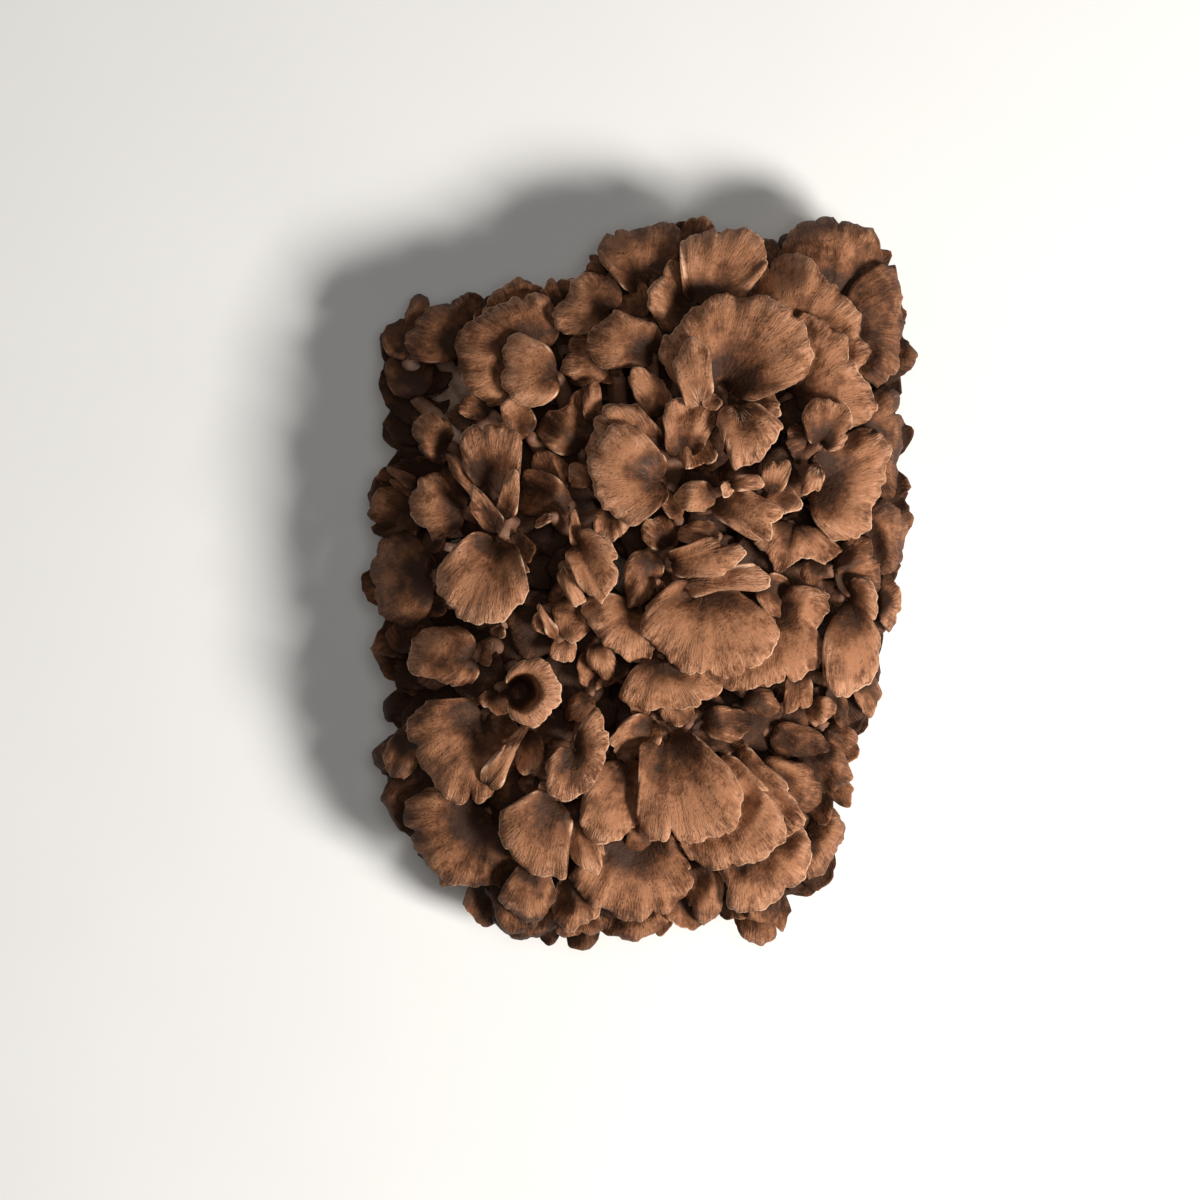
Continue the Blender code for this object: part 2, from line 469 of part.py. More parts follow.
def cut_clear(item, tool_mesh):
    """Cut a grown piece out of an object, unless that would leave it open."""
    tool = add_object("cutter", tool_mesh)
    tool.hide_render = True
    tool.display_type = "WIRE"
    before = item.data.copy()
    replace_mesh(item, "BOOLEAN", object=tool, operation="DIFFERENCE", solver="EXACT")
    faults = tidy(item.data)
    bpy.data.objects.remove(tool)
    if faults:
        print("open after a cut:", item.name, faults)
        item.data = before


def stem_object(caps):
    """The stem: foot, swelling and a branch to each cap, made one skin."""
    points = []
    faces = []

    def add(new_points, new_faces):
        shift = sum(len(part) for part in points)
        points.append(new_points)
        faces.extend([[corner + shift for corner in face] for face in new_faces])

    rings = np.array([(-4.0, 0.96), (0.0, 1.0), (3.0, 1.07), (SWELLING_HEIGHT, 1.0), (12.0, 0.86),
                      (SWELLING_TOP, 0.62)])
    turn = np.linspace(0.0, 2 * math.pi, 36, endpoint=False)
    lumps = 1.0 + 0.06 * np.sin(3 * turn + 0.6) + 0.04 * np.sin(5 * turn + 2.0)
    broad = np.where(rings[:, 0] > 1.0, 1.0, 0.0)
    half = np.array(FOOT)[None, :] * (1 - broad)[:, None] + np.array(SWELLING)[None, :] * broad[:, None]
    x = half[:, :1] * rings[:, 1:] * (lumps * np.cos(turn))[None, :]
    y = half[:, 1:] * rings[:, 1:] * (lumps * np.sin(turn))[None, :]
    z = np.broadcast_to(rings[:, :1], x.shape)
    number = np.arange(x.size).reshape(x.shape)
    after = np.roll(number, -1, axis=1)
    walls = np.stack([number[:-1], after[:-1], after[1:], number[1:]], -1).reshape(-1, 4).tolist()
    add(np.stack([x, y, z], -1).reshape(-1, 3), walls + [number[0, ::-1].tolist(), number[-1].tolist()])

    for cap in caps:
        plan = cap.plan[:, 0].mean(axis=0)
        under = cap.underside()[:, 0].min() - TIP_CLEAR
        start = np.array([FORK_SHARE * plan[0], FORK_SHARE * plan[1], FORK_HEIGHT])
        end = np.array([plan[0], plan[1], under])
        add(*tube(start, end, BRANCH_ROOT, BRANCH_TIP, -0.06 * np.linalg.norm(end - start)))

    item = add_object("stem", closed_mesh("stem", np.concatenate(points), faces))
    replace_mesh(item, "REMESH", mode="VOXEL", voxel_size=STEM_VOXEL * MM, adaptivity=0.0)
    replace_mesh(item, "SMOOTH", factor=0.5, iterations=2)
    work = bmesh.new()
    work.from_mesh(item.data)
    everything = list(work.verts) + list(work.edges) + list(work.faces)
    cut = bmesh.ops.bisect_plane(work, geom=everything, plane_co=(0, 0, 0), plane_no=(0, 0, -1), clear_outer=True)
    rim = [edge for edge in cut["geom_cut"] if isinstance(edge, bmesh.types.BMEdge)]
    bmesh.ops.edgeloop_fill(work, edges=rim)
    bmesh.ops.triangulate(work, faces=work.faces)
    work.to_mesh(item.data)
    work.free()
    share = STEM_TRIANGLES / len(item.data.polygons)
    replace_mesh(item, "DECIMATE", ratio=share, use_collapse_triangulate=True)
    print("stem open edges:", tidy(item.data), "triangles:", len(item.data.polygons))
    return item


def material(name, colour, roughness):
    """A matt natural surface of one colour."""
    item = bpy.data.materials.new(name)
    item.use_nodes = True
    shader = item.node_tree.nodes["Principled BSDF"]
    shader.inputs["Base Color"].default_value = (*colour, 1.0)
    shader.inputs["Roughness"].default_value = roughness
    shader.inputs["Metallic"].default_value = 0.0
    item.diffuse_color = (*colour, 1.0)
    return item


def main():
    for item in list(bpy.data.objects):
        bpy.data.objects.remove(item, do_unlink=True)

    caps = sorted((Cap(*row) for row in CAPS), key=lambda cap: cap.level)
    cells = int(2 * MAP_HALF / MAP_CELL) + 1
    room = np.full((cells, cells), np.inf)
    for cap in caps:
        press(cap, room)
        lay(cap, room)

    stem = stem_object(caps)
    stem.data.materials.clear()
    stem.data.materials.append(material("stem_flesh", STEM_COLOUR, 0.8))
    laid = [(stem, grown(stem.data))]
    for cap in caps:
        item = add_object(cap.name, cap_mesh(cap))
        for other, larger in laid:
            if tree_of(item.data).overlap(tree_of(larger)):
                cut_clear(item, larger)
        shade = TOP_COLOUR if cap.level < 3.5 else EDGE_COLOUR
        item.data.materials.clear()
        item.data.materials.append(material(cap.name + "_skin", shade, 0.75))
        laid.append((item, grown(item.data)))

    for item in list(bpy.data.objects):
        print(item.name, len(item.data.polygons))
    print("total", sum(len(item.data.polygons) for item in bpy.data.objects))


main()
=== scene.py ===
"""A maitake cluster, finished: thin fan-shaped caps with wavy, notched rims on a white branching stem.

Each cap is a leaf of flesh on a grid of lines from its stalk and lines along its rim. Its plan comes from the
point where it leaves its stalk and a few points of its rim. Its height is the dome of the cluster, lowered by
its level in the pile and shaped by its style. Caps are laid from the highest level down, and each is pressed
smoothly under those above it. Small lobes and hidden caps fill the room between and below the large ones.

Lengths are in millimetres until a mesh is made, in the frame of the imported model.
"""

import math

import bmesh
import bpy
import numpy as np
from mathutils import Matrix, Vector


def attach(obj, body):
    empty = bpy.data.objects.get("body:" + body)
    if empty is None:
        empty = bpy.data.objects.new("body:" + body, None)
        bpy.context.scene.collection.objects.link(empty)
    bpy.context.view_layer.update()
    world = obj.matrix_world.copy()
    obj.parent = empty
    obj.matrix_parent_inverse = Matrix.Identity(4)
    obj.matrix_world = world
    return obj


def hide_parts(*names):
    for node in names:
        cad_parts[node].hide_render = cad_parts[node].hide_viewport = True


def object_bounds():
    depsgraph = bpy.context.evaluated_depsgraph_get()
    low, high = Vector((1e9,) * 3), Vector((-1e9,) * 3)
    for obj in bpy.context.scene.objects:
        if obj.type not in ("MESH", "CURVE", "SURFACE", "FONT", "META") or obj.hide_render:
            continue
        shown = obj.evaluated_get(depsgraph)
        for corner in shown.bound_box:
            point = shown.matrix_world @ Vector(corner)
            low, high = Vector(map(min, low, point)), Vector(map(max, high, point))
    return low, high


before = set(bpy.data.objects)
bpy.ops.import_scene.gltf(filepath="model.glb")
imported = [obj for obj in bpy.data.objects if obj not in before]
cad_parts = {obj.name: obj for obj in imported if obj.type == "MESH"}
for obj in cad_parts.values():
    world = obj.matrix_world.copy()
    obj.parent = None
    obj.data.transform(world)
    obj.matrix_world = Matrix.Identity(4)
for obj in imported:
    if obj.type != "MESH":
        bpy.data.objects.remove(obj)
cad_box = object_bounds()

MM = 0.001

# The dome that the caps follow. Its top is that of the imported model.
BOX_HIGH = np.array(cad_box[1]) / MM
DOME_MIDDLE = np.array([4.0, 2.0])
DOME_OUTLINE = (
    (57, 10), (58, 30), (58.5, 50), (56, 66), (50, 73), (43, 76), (36, 74), (28, 73.5), (16, 75.5),
    (2, 74.5), (-8, 70), (-15, 64), (-26, 62), (-40, 59), (-49, 54), (-53, 42), (-55, 25), (-54, 5),
    (-54, -15), (-53, -35), (-50, -50), (-44, -62), (-34, -70), (-24, -73.5), (-8, -74), (8, -73),
    (20, -72.5), (28, -74.5), (34, -69), (40, -61), (45, -50), (47, -38), (51, -27), (54, -14), (56, -2),
)
DOME_SPREAD = 1.05  # the dome's own edge lies this much farther out than the outline
DOME_TOP = BOX_HIGH[2] + 0.3
DOME_EDGE = 15.0  # its height at its edge
DOME_POWER = 2.8  # the higher, the more level its top
DOME_SKIRT = 12.0  # how far it falls beyond its edge over one more reach
LEVEL_STEP = 1.6  # height from one level of the pile to the next

CAP_ROOT = 2.3  # a cap's thickness at its stalk
CAP_RIM = 1.15  # and near its rim
MARGIN = 0.85  # a cap's edge is round over this width
CAP_GAP = 0.35  # clear height kept between caps as they are laid
CAP_SLOPE = 0.95  # a pressed cap comes up from under the next no more steeply than this
LOWEST = 3.0  # a cap is pressed no lower than this
FLOOR_CLEAR = 0.5  # no part of a cap is nearer the surface than this
NECK = 0.04  # a cap starts this far out, as a share of its length, so that it doesn't end in a point
PAINTED_SHADE_FROM = 3.5  # painted shade: deeper than this under the dome, the skin is painted darker
PAINTED_SHADE_STEP = 0.070  # by this much for each millimetre
BULGE = 0.16  # how far a cap's sides bulge half way out, as a share of its length
OPEN_FROM = 0.34  # the part of a cap farther out than this keeps others below it
SOFT_PRESS = 1.2  # the height over which a pressed cap goes over into its own shape
LINE_STEP = 0.55  # from line to line along a rim
LOBE_STEP = 0.45  # the same for the lobes, the skirt caps and the inner caps
SKIRT_STEP = 0.9
INNER_STEP = 1.5
MAP_CELL = 0.5  # the map of the room under the laid caps: its cells, and how far it reaches from the origin
MAP_HALF = 100.0
MAP_REACH = 14  # cells over which a pressed cap may come up

# style: how deep the stalk end lies below the blade, where the blade levels out, how far the rim turns down,
# how far the two sides turn down, all but the second as shares of the cap's length, how wavy the rim is, and
# the power by which the stalk end deepens
STYLES = {
    "fan": (0.45, 0.85, 0.09, 0.07, 1.0, 1.6),
    "flat": (0.26, 0.65, 0.07, 0.05, 0.8, 1.6),
    "cup": (1.90, 0.56, 0.12, 0.02, 0.4, 0.7),
    "dish": (0.55, 0.80, -0.03, -0.04, 1.4, 1.6),
    "hood": (0.12, 0.40, 0.30, 0.22, 0.5, 1.6),
}

# name, style, level in the pile, where it leaves its stalk, and points of its rim
CAPS = (
    ("crown_frond_1", "fan", 1.0, (18.5, 40.5),
     ((29, 38.6), (35.5, 42), (36.2, 49), (32, 55.8), (25, 58.4), (16, 57.8), (9.8, 52.5), (5.6, 46),
      (8.5, 41))),
    ("crown_frond_2", "flat", 0.0, (14.0, 35.5),
     ((16, 42), (15.8, 47), (12.5, 49.1), (9.3, 46.8), (8.8, 42), (10.5, 38))),
    ("crown_frond_3", "fan", 1.6, (5.0, 46.5),
     ((4.8, 52.8), (1, 54), (-2.8, 55), (-6, 53.2), (-8.4, 50), (-8.8, 47), (-7.2, 44.6), (-3.5, 43.2),
      (1, 44.5))),
    ("crown_frond_4", "fan", 0.0, (6.5, 21.0),
     ((4.8, 15.2), (2.5, 12.5), (-0.5, 12), (-3.5, 13.5), (-6.6, 17.3), (-8.1, 21.5), (-8, 25.5),
      (-5.5, 30), (-1.6, 32.8), (0.8, 32), (4, 27.5))),
    ("crown_frond_5", "fan", 1.0, (5.0, 26.0),
     ((4, 33), (1.5, 35.7), (-3, 36.4), (-6.2, 35), (-7.4, 32), (-8.4, 28), (-8.5, 24.5))),
    ("crown_frond_6", "dish", 0.3, (10.5, 25.5),
     ((15.4, 30), (17.5, 33.5), (13, 36.5), (8, 37.2), (6.6, 33.8), (6.9, 29.5))),
    ("crown_frond_7", "fan", 0.2, (21.5, 35.8),
     ((17.2, 32.5), (17.9, 29.3), (19.6, 25.5), (20.8, 22.9), (23.6, 23.6), (26.5, 25.7), (29, 28.5),
      (30.3, 32), (28, 33.8))),
    ("crown_frond_8", "dish", 0.6, (16.0, 18.0),
     ((20.5, 11.6), (22.5, 9.8), (25.5, 9), (28.2, 9.3), (29, 11.8), (30.3, 14.8), (27.5, 17), (22, 19.8))),
    ("crown_frond_9", "flat", 0.2, (8.0, 4.5),
     ((12, 1.6), (18.5, 2), (21.6, 4.5), (22.7, 6.8), (21.3, 8.4), (19.3, 7.8), (17.3, 9.4), (13, 8.6),
      (9.8, 6.8))),
    ("crown_frond_10", "flat", 0.5, (10.0, 0.5),
     ((16, -1.3), (21, -1), (25.6, -1.2), (28.3, 0.4), (27, 2.7), (24.3, 4.3), (20, 2.8))),
    ("crown_frond_11", "flat", 0.9, (15.0, -0.5),
     ((5.5, -2.5), (2.9, -4.6), (2.2, -9), (5.2, -12.7), (9, -16), (12, -18.5), (15.2, -17.2),
      (19, -18.8), (23.6, -17.8), (27.3, -15), (29.1, -12), (29.5, -7.6), (25.5, -4.6), (21, -1.8))),
    ("crown_frond_12", "fan", 0.0, (-10.5, 8.0),
     ((-12.6, 4), (-10.6, 0.3), (-7.6, -2.3), (-5.7, -3.7), (-3.7, -0.8), (-2.2, 3), (-2.8, 6.5),
      (-5.3, 9.8), (-8.2, 11.4))),
    ("crown_frond_13", "fan", 1.6, (1.0, -4.0),
     ((-8.6, -2.4), (-9.8, -4.5), (-8.1, -8.3), (-5.5, -11.3), (-2.5, -14), (0.5, -15.3), (3.8, -15),
      (5.2, -12.5))),
    ("crown_frond_14", "flat", 1.5, (6.5, -14.5),
     ((-1.6, -20.3), (-2.4, -22.4), (-1, -23.8), (2.5, -24.9), (8, -24.8), (14, -24.1), (17.2, -22.3),
      (18.2, -20.5), (14.5, -17))),
    ("north_frond_1", "fan", 2.0, (14.5, 55.0),
     ((23.5, 58.7), (27, 63.2), (28, 68), (25, 72.3), (20, 73.1), (14.5, 72), (10.2, 68.9), (12, 64.6))),
    ("north_frond_2", "fan", 2.2, (12.5, 54.0),
     ((12.2, 64.4), (9.7, 65.8), (6, 63), (3.8, 59), (4, 55), (6.6, 51.4))),
    ("north_frond_3", "fan", 3.0, (3.5, 60.0),
     ((10.4, 68.5), (9.6, 74.1), (2, 72.9), (-4.5, 72.3), (-6.3, 70), (-6.2, 66.5), (-3, 63))),
    ("north_frond_4", "fan", 3.0, (-4.0, 55.0),
     ((-2.2, 61), (-4.2, 63), (-8, 63.7), (-10.9, 62.5), (-13.5, 58), (-15.7, 54), (-14.5, 51.3),
      (-11.5, 50.2), (-8, 51))),
    ("north_frond_5", "flat", 3.0, (-3.0, 45.5),
     ((-4.5, 53.8), (-9, 52.6), (-11.6, 50), (-13, 46.5), (-13.6, 43.6), (-12, 41.4), (-9, 39.8))),
    ("east_frond_1", "fan", 2.2, (32.5, 38.0),
     ((44.5, 31.4), (48, 33.2), (49.9, 35.8), (49.2, 39.5), (46.5, 42.2), (46.2, 43.8), (44.5, 46),
      (43.5, 50), (40, 52.6), (34.5, 55.2))),
    ("east_frond_2", "fan", 3.2, (31.0, 47.0),
     ((46.3, 43.7), (48.8, 47.3), (47, 50.5), (46.2, 55.5), (42, 60.2), (38.5, 64.3), (34.5, 67.2),
      (30.5, 67.3), (26.5, 63.5), (22.8, 58.6))),
    ("east_frond_3", "fan", 4.0, (42.0, 52.0),
     ((47, 42.3), (51, 40.3), (54.3, 43.5), (55.5, 49.5), (56, 56), (55.3, 61.5), (54.2, 65.3), (51.5, 66))),
    ("east_frond_4", "fan", 4.3, (41.0, 54.0),
     ((52.3, 65.5), (51.8, 69.5), (50, 72.5), (46, 74.4), (41, 75.6), (36.5, 75), (32.5, 71.8),
      (30.2, 67.3))),
    ("east_frond_5", "hood", 5.0, (46.5, 30.0),
     ((49.5, 16.2), (53, 17.3), (54.9, 20.5), (55.2, 26), (56.4, 30.5), (56, 35), (54.6, 40.5), (51, 41))),
    ("east_frond_6", "flat", 1.0, (38.2, 28.6),
     ((42, 27.1), (44.3, 30.3), (44.7, 33.5), (43, 36.2), (39.5, 37.4), (36, 36.6), (34.3, 33.5), (35, 30))),
    ("east_frond_7", "fan", 2.2, (36.5, 20.0),
     ((41, 8.8), (46, 9.4), (48.8, 12.5), (49.6, 16.6), (52, 20.5), (52.3, 24.5), (53, 28.3),
      (50.5, 31.4), (46.5, 31.8), (41, 29))),
    ("east_frond_8", "fan", 1.1, (44.0, -2.5),
     ((38.8, -18.5), (40.4, -21.7), (43.5, -22.6), (47, -21), (49.5, -18.6), (50.8, -13.5), (50.4, -7),
      (50, -2.8), (48.6, 1.5))),
    ("east_frond_9", "fan", 2.0, (28.0, -4.5),
     ((14.5, -17.5), (16.5, -20), (20.3, -21.6), (25, -20.5), (30, -20), (34.5, -18.6), (38.2, -16),
      (39.6, -13), (38.2, -9.8), (38.7, -6.8), (40.2, -4.8), (38, -0.8))),
    ("east_frond_10", "fan", 2.6, (33.0, 12.5),
     ((24.2, 10), (26, 7.5), (28, 4.8), (29.9, 2.1), (32.2, 3.9), (36, 5.1), (40, 4.5), (43, 7))),
    ("east_frond_11", "hood", 3.4, (41.0, 3.0),
     ((46.5, -3.8), (50.2, -2.4), (51, 1.5), (50.3, 5.5), (48.6, 9.4), (46, 10.4))),
    ("south_frond_1", "fan", 0.5, (7.0, -30.5),
     ((2.2, -36.5), (1.6, -42), (1.7, -48), (4.5, -51.2), (9.5, -51.8), (15.5, -51.3), (20.3, -49.8),
      (22.4, -45.5), (21.9, -39.8), (19, -35.3), (13.5, -32.3))),
    ("south_frond_2", "fan", 1.3, (-1.0, -35.0),
     ((-9.2, -40.5), (-9.9, -45.5), (-9.5, -49.7), (-5.2, -51.9), (-1, -50.5), (1.7, -47.5), (1.3, -43),
      (0.8, -38))),
    ("south_frond_3", "flat", 1.5, (-14.5, -43.0),
     ((-22, -43.5), (-25.4, -45.1), (-26.7, -48.3), (-25, -52.5), (-22, -56.6), (-18, -58.5),
      (-13.3, -59.2), (-12.8, -52))),
    ("south_frond_4", "flat", 1.7, (15.0, -37.0),
     ((10.2, -52.7), (13, -56), (19, -57.2), (25, -55.9), (29, -53.8), (31.2, -51.4), (31, -47),
      (28.5, -41.5), (24, -37.2))),
    ("south_frond_5", "flat", 2.4, (20.0, -34.5),
     ((30.3, -51.5), (33, -50.7), (35.2, -48), (33.6, -43.5), (30.5, -38.8), (26, -35.2))),
    ("south_frond_6", "hood", 3.0, (26.0, -38.0),
     ((35.3, -47.9), (37.2, -45.8), (39.2, -42.5), (38.7, -39.3), (36.3, -36.6), (31, -34.8))),
    ("south_frond_7", "fan", 2.7, (24.0, -50.0),
     ((17.8, -57.3), (19.8, -62), (19.5, -64.5), (22.3, -66.7), (27, -65.7), (31, -63.2), (34.8, -60),
      (37, -56.5), (36.6, -52.5), (35, -48.8))),
    ("south_frond_8", "fan", 2.7, (2.0, -50.0),
     ((-12.4, -59.2), (-9.8, -63), (-5, -66), (-1, -68.1), (4, -68.2), (8.3, -66), (11.8, -62.5),
      (13.1, -59.4), (11.9, -55.6), (9.9, -52.8))),
    ("south_frond_9", "hood", 3.0, (-19.5, -56.5),
     ((-24, -59.5), (-26.4, -62.3), (-25.8, -65.3), (-22.5, -67.8), (-19, -68.5), (-16.4, -66.5),
      (-15.1, -63.5), (-15.8, -59.8))),
    ("south_frond_10", "hood", 4.6, (36.0, -48.5),
     ((36.6, -60.6), (40.2, -58.7), (42.6, -55.3), (44.2, -51.5), (44, -48), (42, -45.6))),
    ("south_frond_11", "flat", 0.0, (-11.0, -33.0),
     ((-15.5, -33.7), (-17.1, -36.9), (-16.9, -40.3), (-12.4, -43.2), (-7.3, -39.7), (-4.3, -31.6),
      (-5, -27), (-7, -24.4), (-9, -28))),
    ("west_frond_1", "fan", 3.0, (-18.0, 46.5),
     ((-15.2, 56), (-16.4, 58.8), (-20.5, 59.2), (-25.5, 57.8), (-30, 55), (-34.3, 51.8), (-35.3, 47),
      (-34.2, 42), (-31.5, 38.2), (-28.3, 36.5), (-24.8, 35.8))),
    ("west_frond_2", "flat", 2.0, (-14.5, 42.5),
     ((-20, 50), (-22.6, 51), (-24.4, 49.7), (-25.6, 46.5), (-25.8, 42.5), (-24.8, 38.5), (-22.3, 36.2),
      (-17.5, 36))),
    ("west_frond_3", "fan", 4.6, (-30.5, 48.5),
     ((-29, 58.3), (-32.5, 60), (-35.5, 58.4), (-39, 57.4), (-43, 55), (-45.5, 51.5), (-45, 46))),
    ("west_frond_4", "hood", 3.6, (-36.5, 28.5),
     ((-36.3, 33), (-39, 35), (-42.5, 34.6), (-44, 31.5), (-43.2, 28), (-41, 25.6), (-38, 24.4))),
    ("west_frond_5", "fan", 3.4, (-33.5, 15.0),
     ((-34.5, 23), (-38, 23.5), (-41.2, 22), (-44, 19), (-44.8, 16), (-43.6, 13.5), (-41.3, 11.2),
      (-39.8, 9), (-37, 9.6))),
    ("west_frond_6", "fan", 2.0, (-27.0, 18.0),
     ((-22, 24), (-21.4, 27), (-22, 29.6), (-24.2, 31.6), (-28, 32.5), (-32, 31.8), (-34.3, 30),
      (-33.8, 27))),
    ("west_frond_7", "fan", 1.0, (-26.5, 9.0),
     ((-34.5, 7.8), (-38, 5.2), (-38.9, 1.5), (-37.4, -3), (-34, -6.6), (-30, -8), (-26, -7.4),
      (-23.4, -5.4), (-20.8, -2.8), (-20.3, 0), (-22, 3.2))),
    ("west_frond_8", "fan", 2.0, (-12.0, 16.0),
     ((-15, 14), (-19, 13.9), (-22.4, 14.8), (-22.9, 18), (-22.2, 21), (-20.3, 23.3), (-17.5, 23))),
    ("west_frond_9", "fan", 2.2, (-9.5, 27.0),
     ((-6.2, 38.3), (-8, 40.6), (-11, 38.3), (-13.4, 35.9), (-16.3, 34.7), (-18.1, 32.5), (-18.6, 30),
      (-17, 28))),
    ("west_frond_10", "cup", 0.4, (-22.8, -21.3),
     ((-23.6, -26.9), (-20, -28.2), (-17.4, -27.5), (-14.9, -25), (-13.7, -22), (-14.2, -18.8),
      (-16, -16), (-19, -14.6), (-22, -15.2), (-24.2, -17.2))),
    ("west_frond_11", "fan", 2.2, (-29.5, -27.0),
     ((-37, -23.2), (-41.5, -23.8), (-44.9, -27.5), (-44.8, -32), (-41.8, -36.8), (-38, -42),
      (-33, -44.6), (-28.5, -42.8), (-25, -38), (-21.7, -33.5), (-21.3, -30.8), (-23.5, -28))),
    ("west_frond_12", "hood", 2.7, (-31.5, -14.5),
     ((-33.5, -8.6), (-38, -8.1), (-42, -9.3), (-44.4, -12), (-45, -15.5), (-43.5, -18.2), (-40, -18.9),
      (-36, -20.3), (-32, -20.1))),
    ("west_frond_13", "fan", 4.2, (-28.5, -47.0),
     ((-41, -41), (-45.4, -44), (-46, -48.5), (-43, -54.5), (-39, -59.5), (-34, -61.6), (-29.5, -61.2),
      (-26.8, -62), (-23.5, -59.5), (-22, -56))),
    ("skirt_frond_1", "hood", 4.0, (46.5, 9.5),
     ((50, 1.5), (54, 3), (56.5, 7), (57, 11.5), (55, 16), (51.5, 18))),
    ("skirt_frond_2", "flat", 5.5, (1.0, -60.0),
     ((-7, -66.5), (-5.5, -71), (-1, -72.8), (4, -72), (7.5, -69.5), (8.5, -65.5))),
    ("skirt_frond_3", "hood", 5.5, (-20.0, -60.0),
     ((-28.5, -66), (-27.5, -70.5), (-23, -72.8), (-18, -72.4), (-14.5, -70))),
    ("skirt_frond_4", "hood", 4.5, (-40.0, 2.0),
     ((-44, -9), (-49, -7.5), (-52.5, -2), (-53, 3.5), (-51, 9), (-46, 11.5))),
    ("skirt_frond_5", "flat", 5.5, (26.0, -60.0),
     ((20.5, -67), (22.5, -71), (27, -74.2), (31, -72), (33.5, -67))),
)

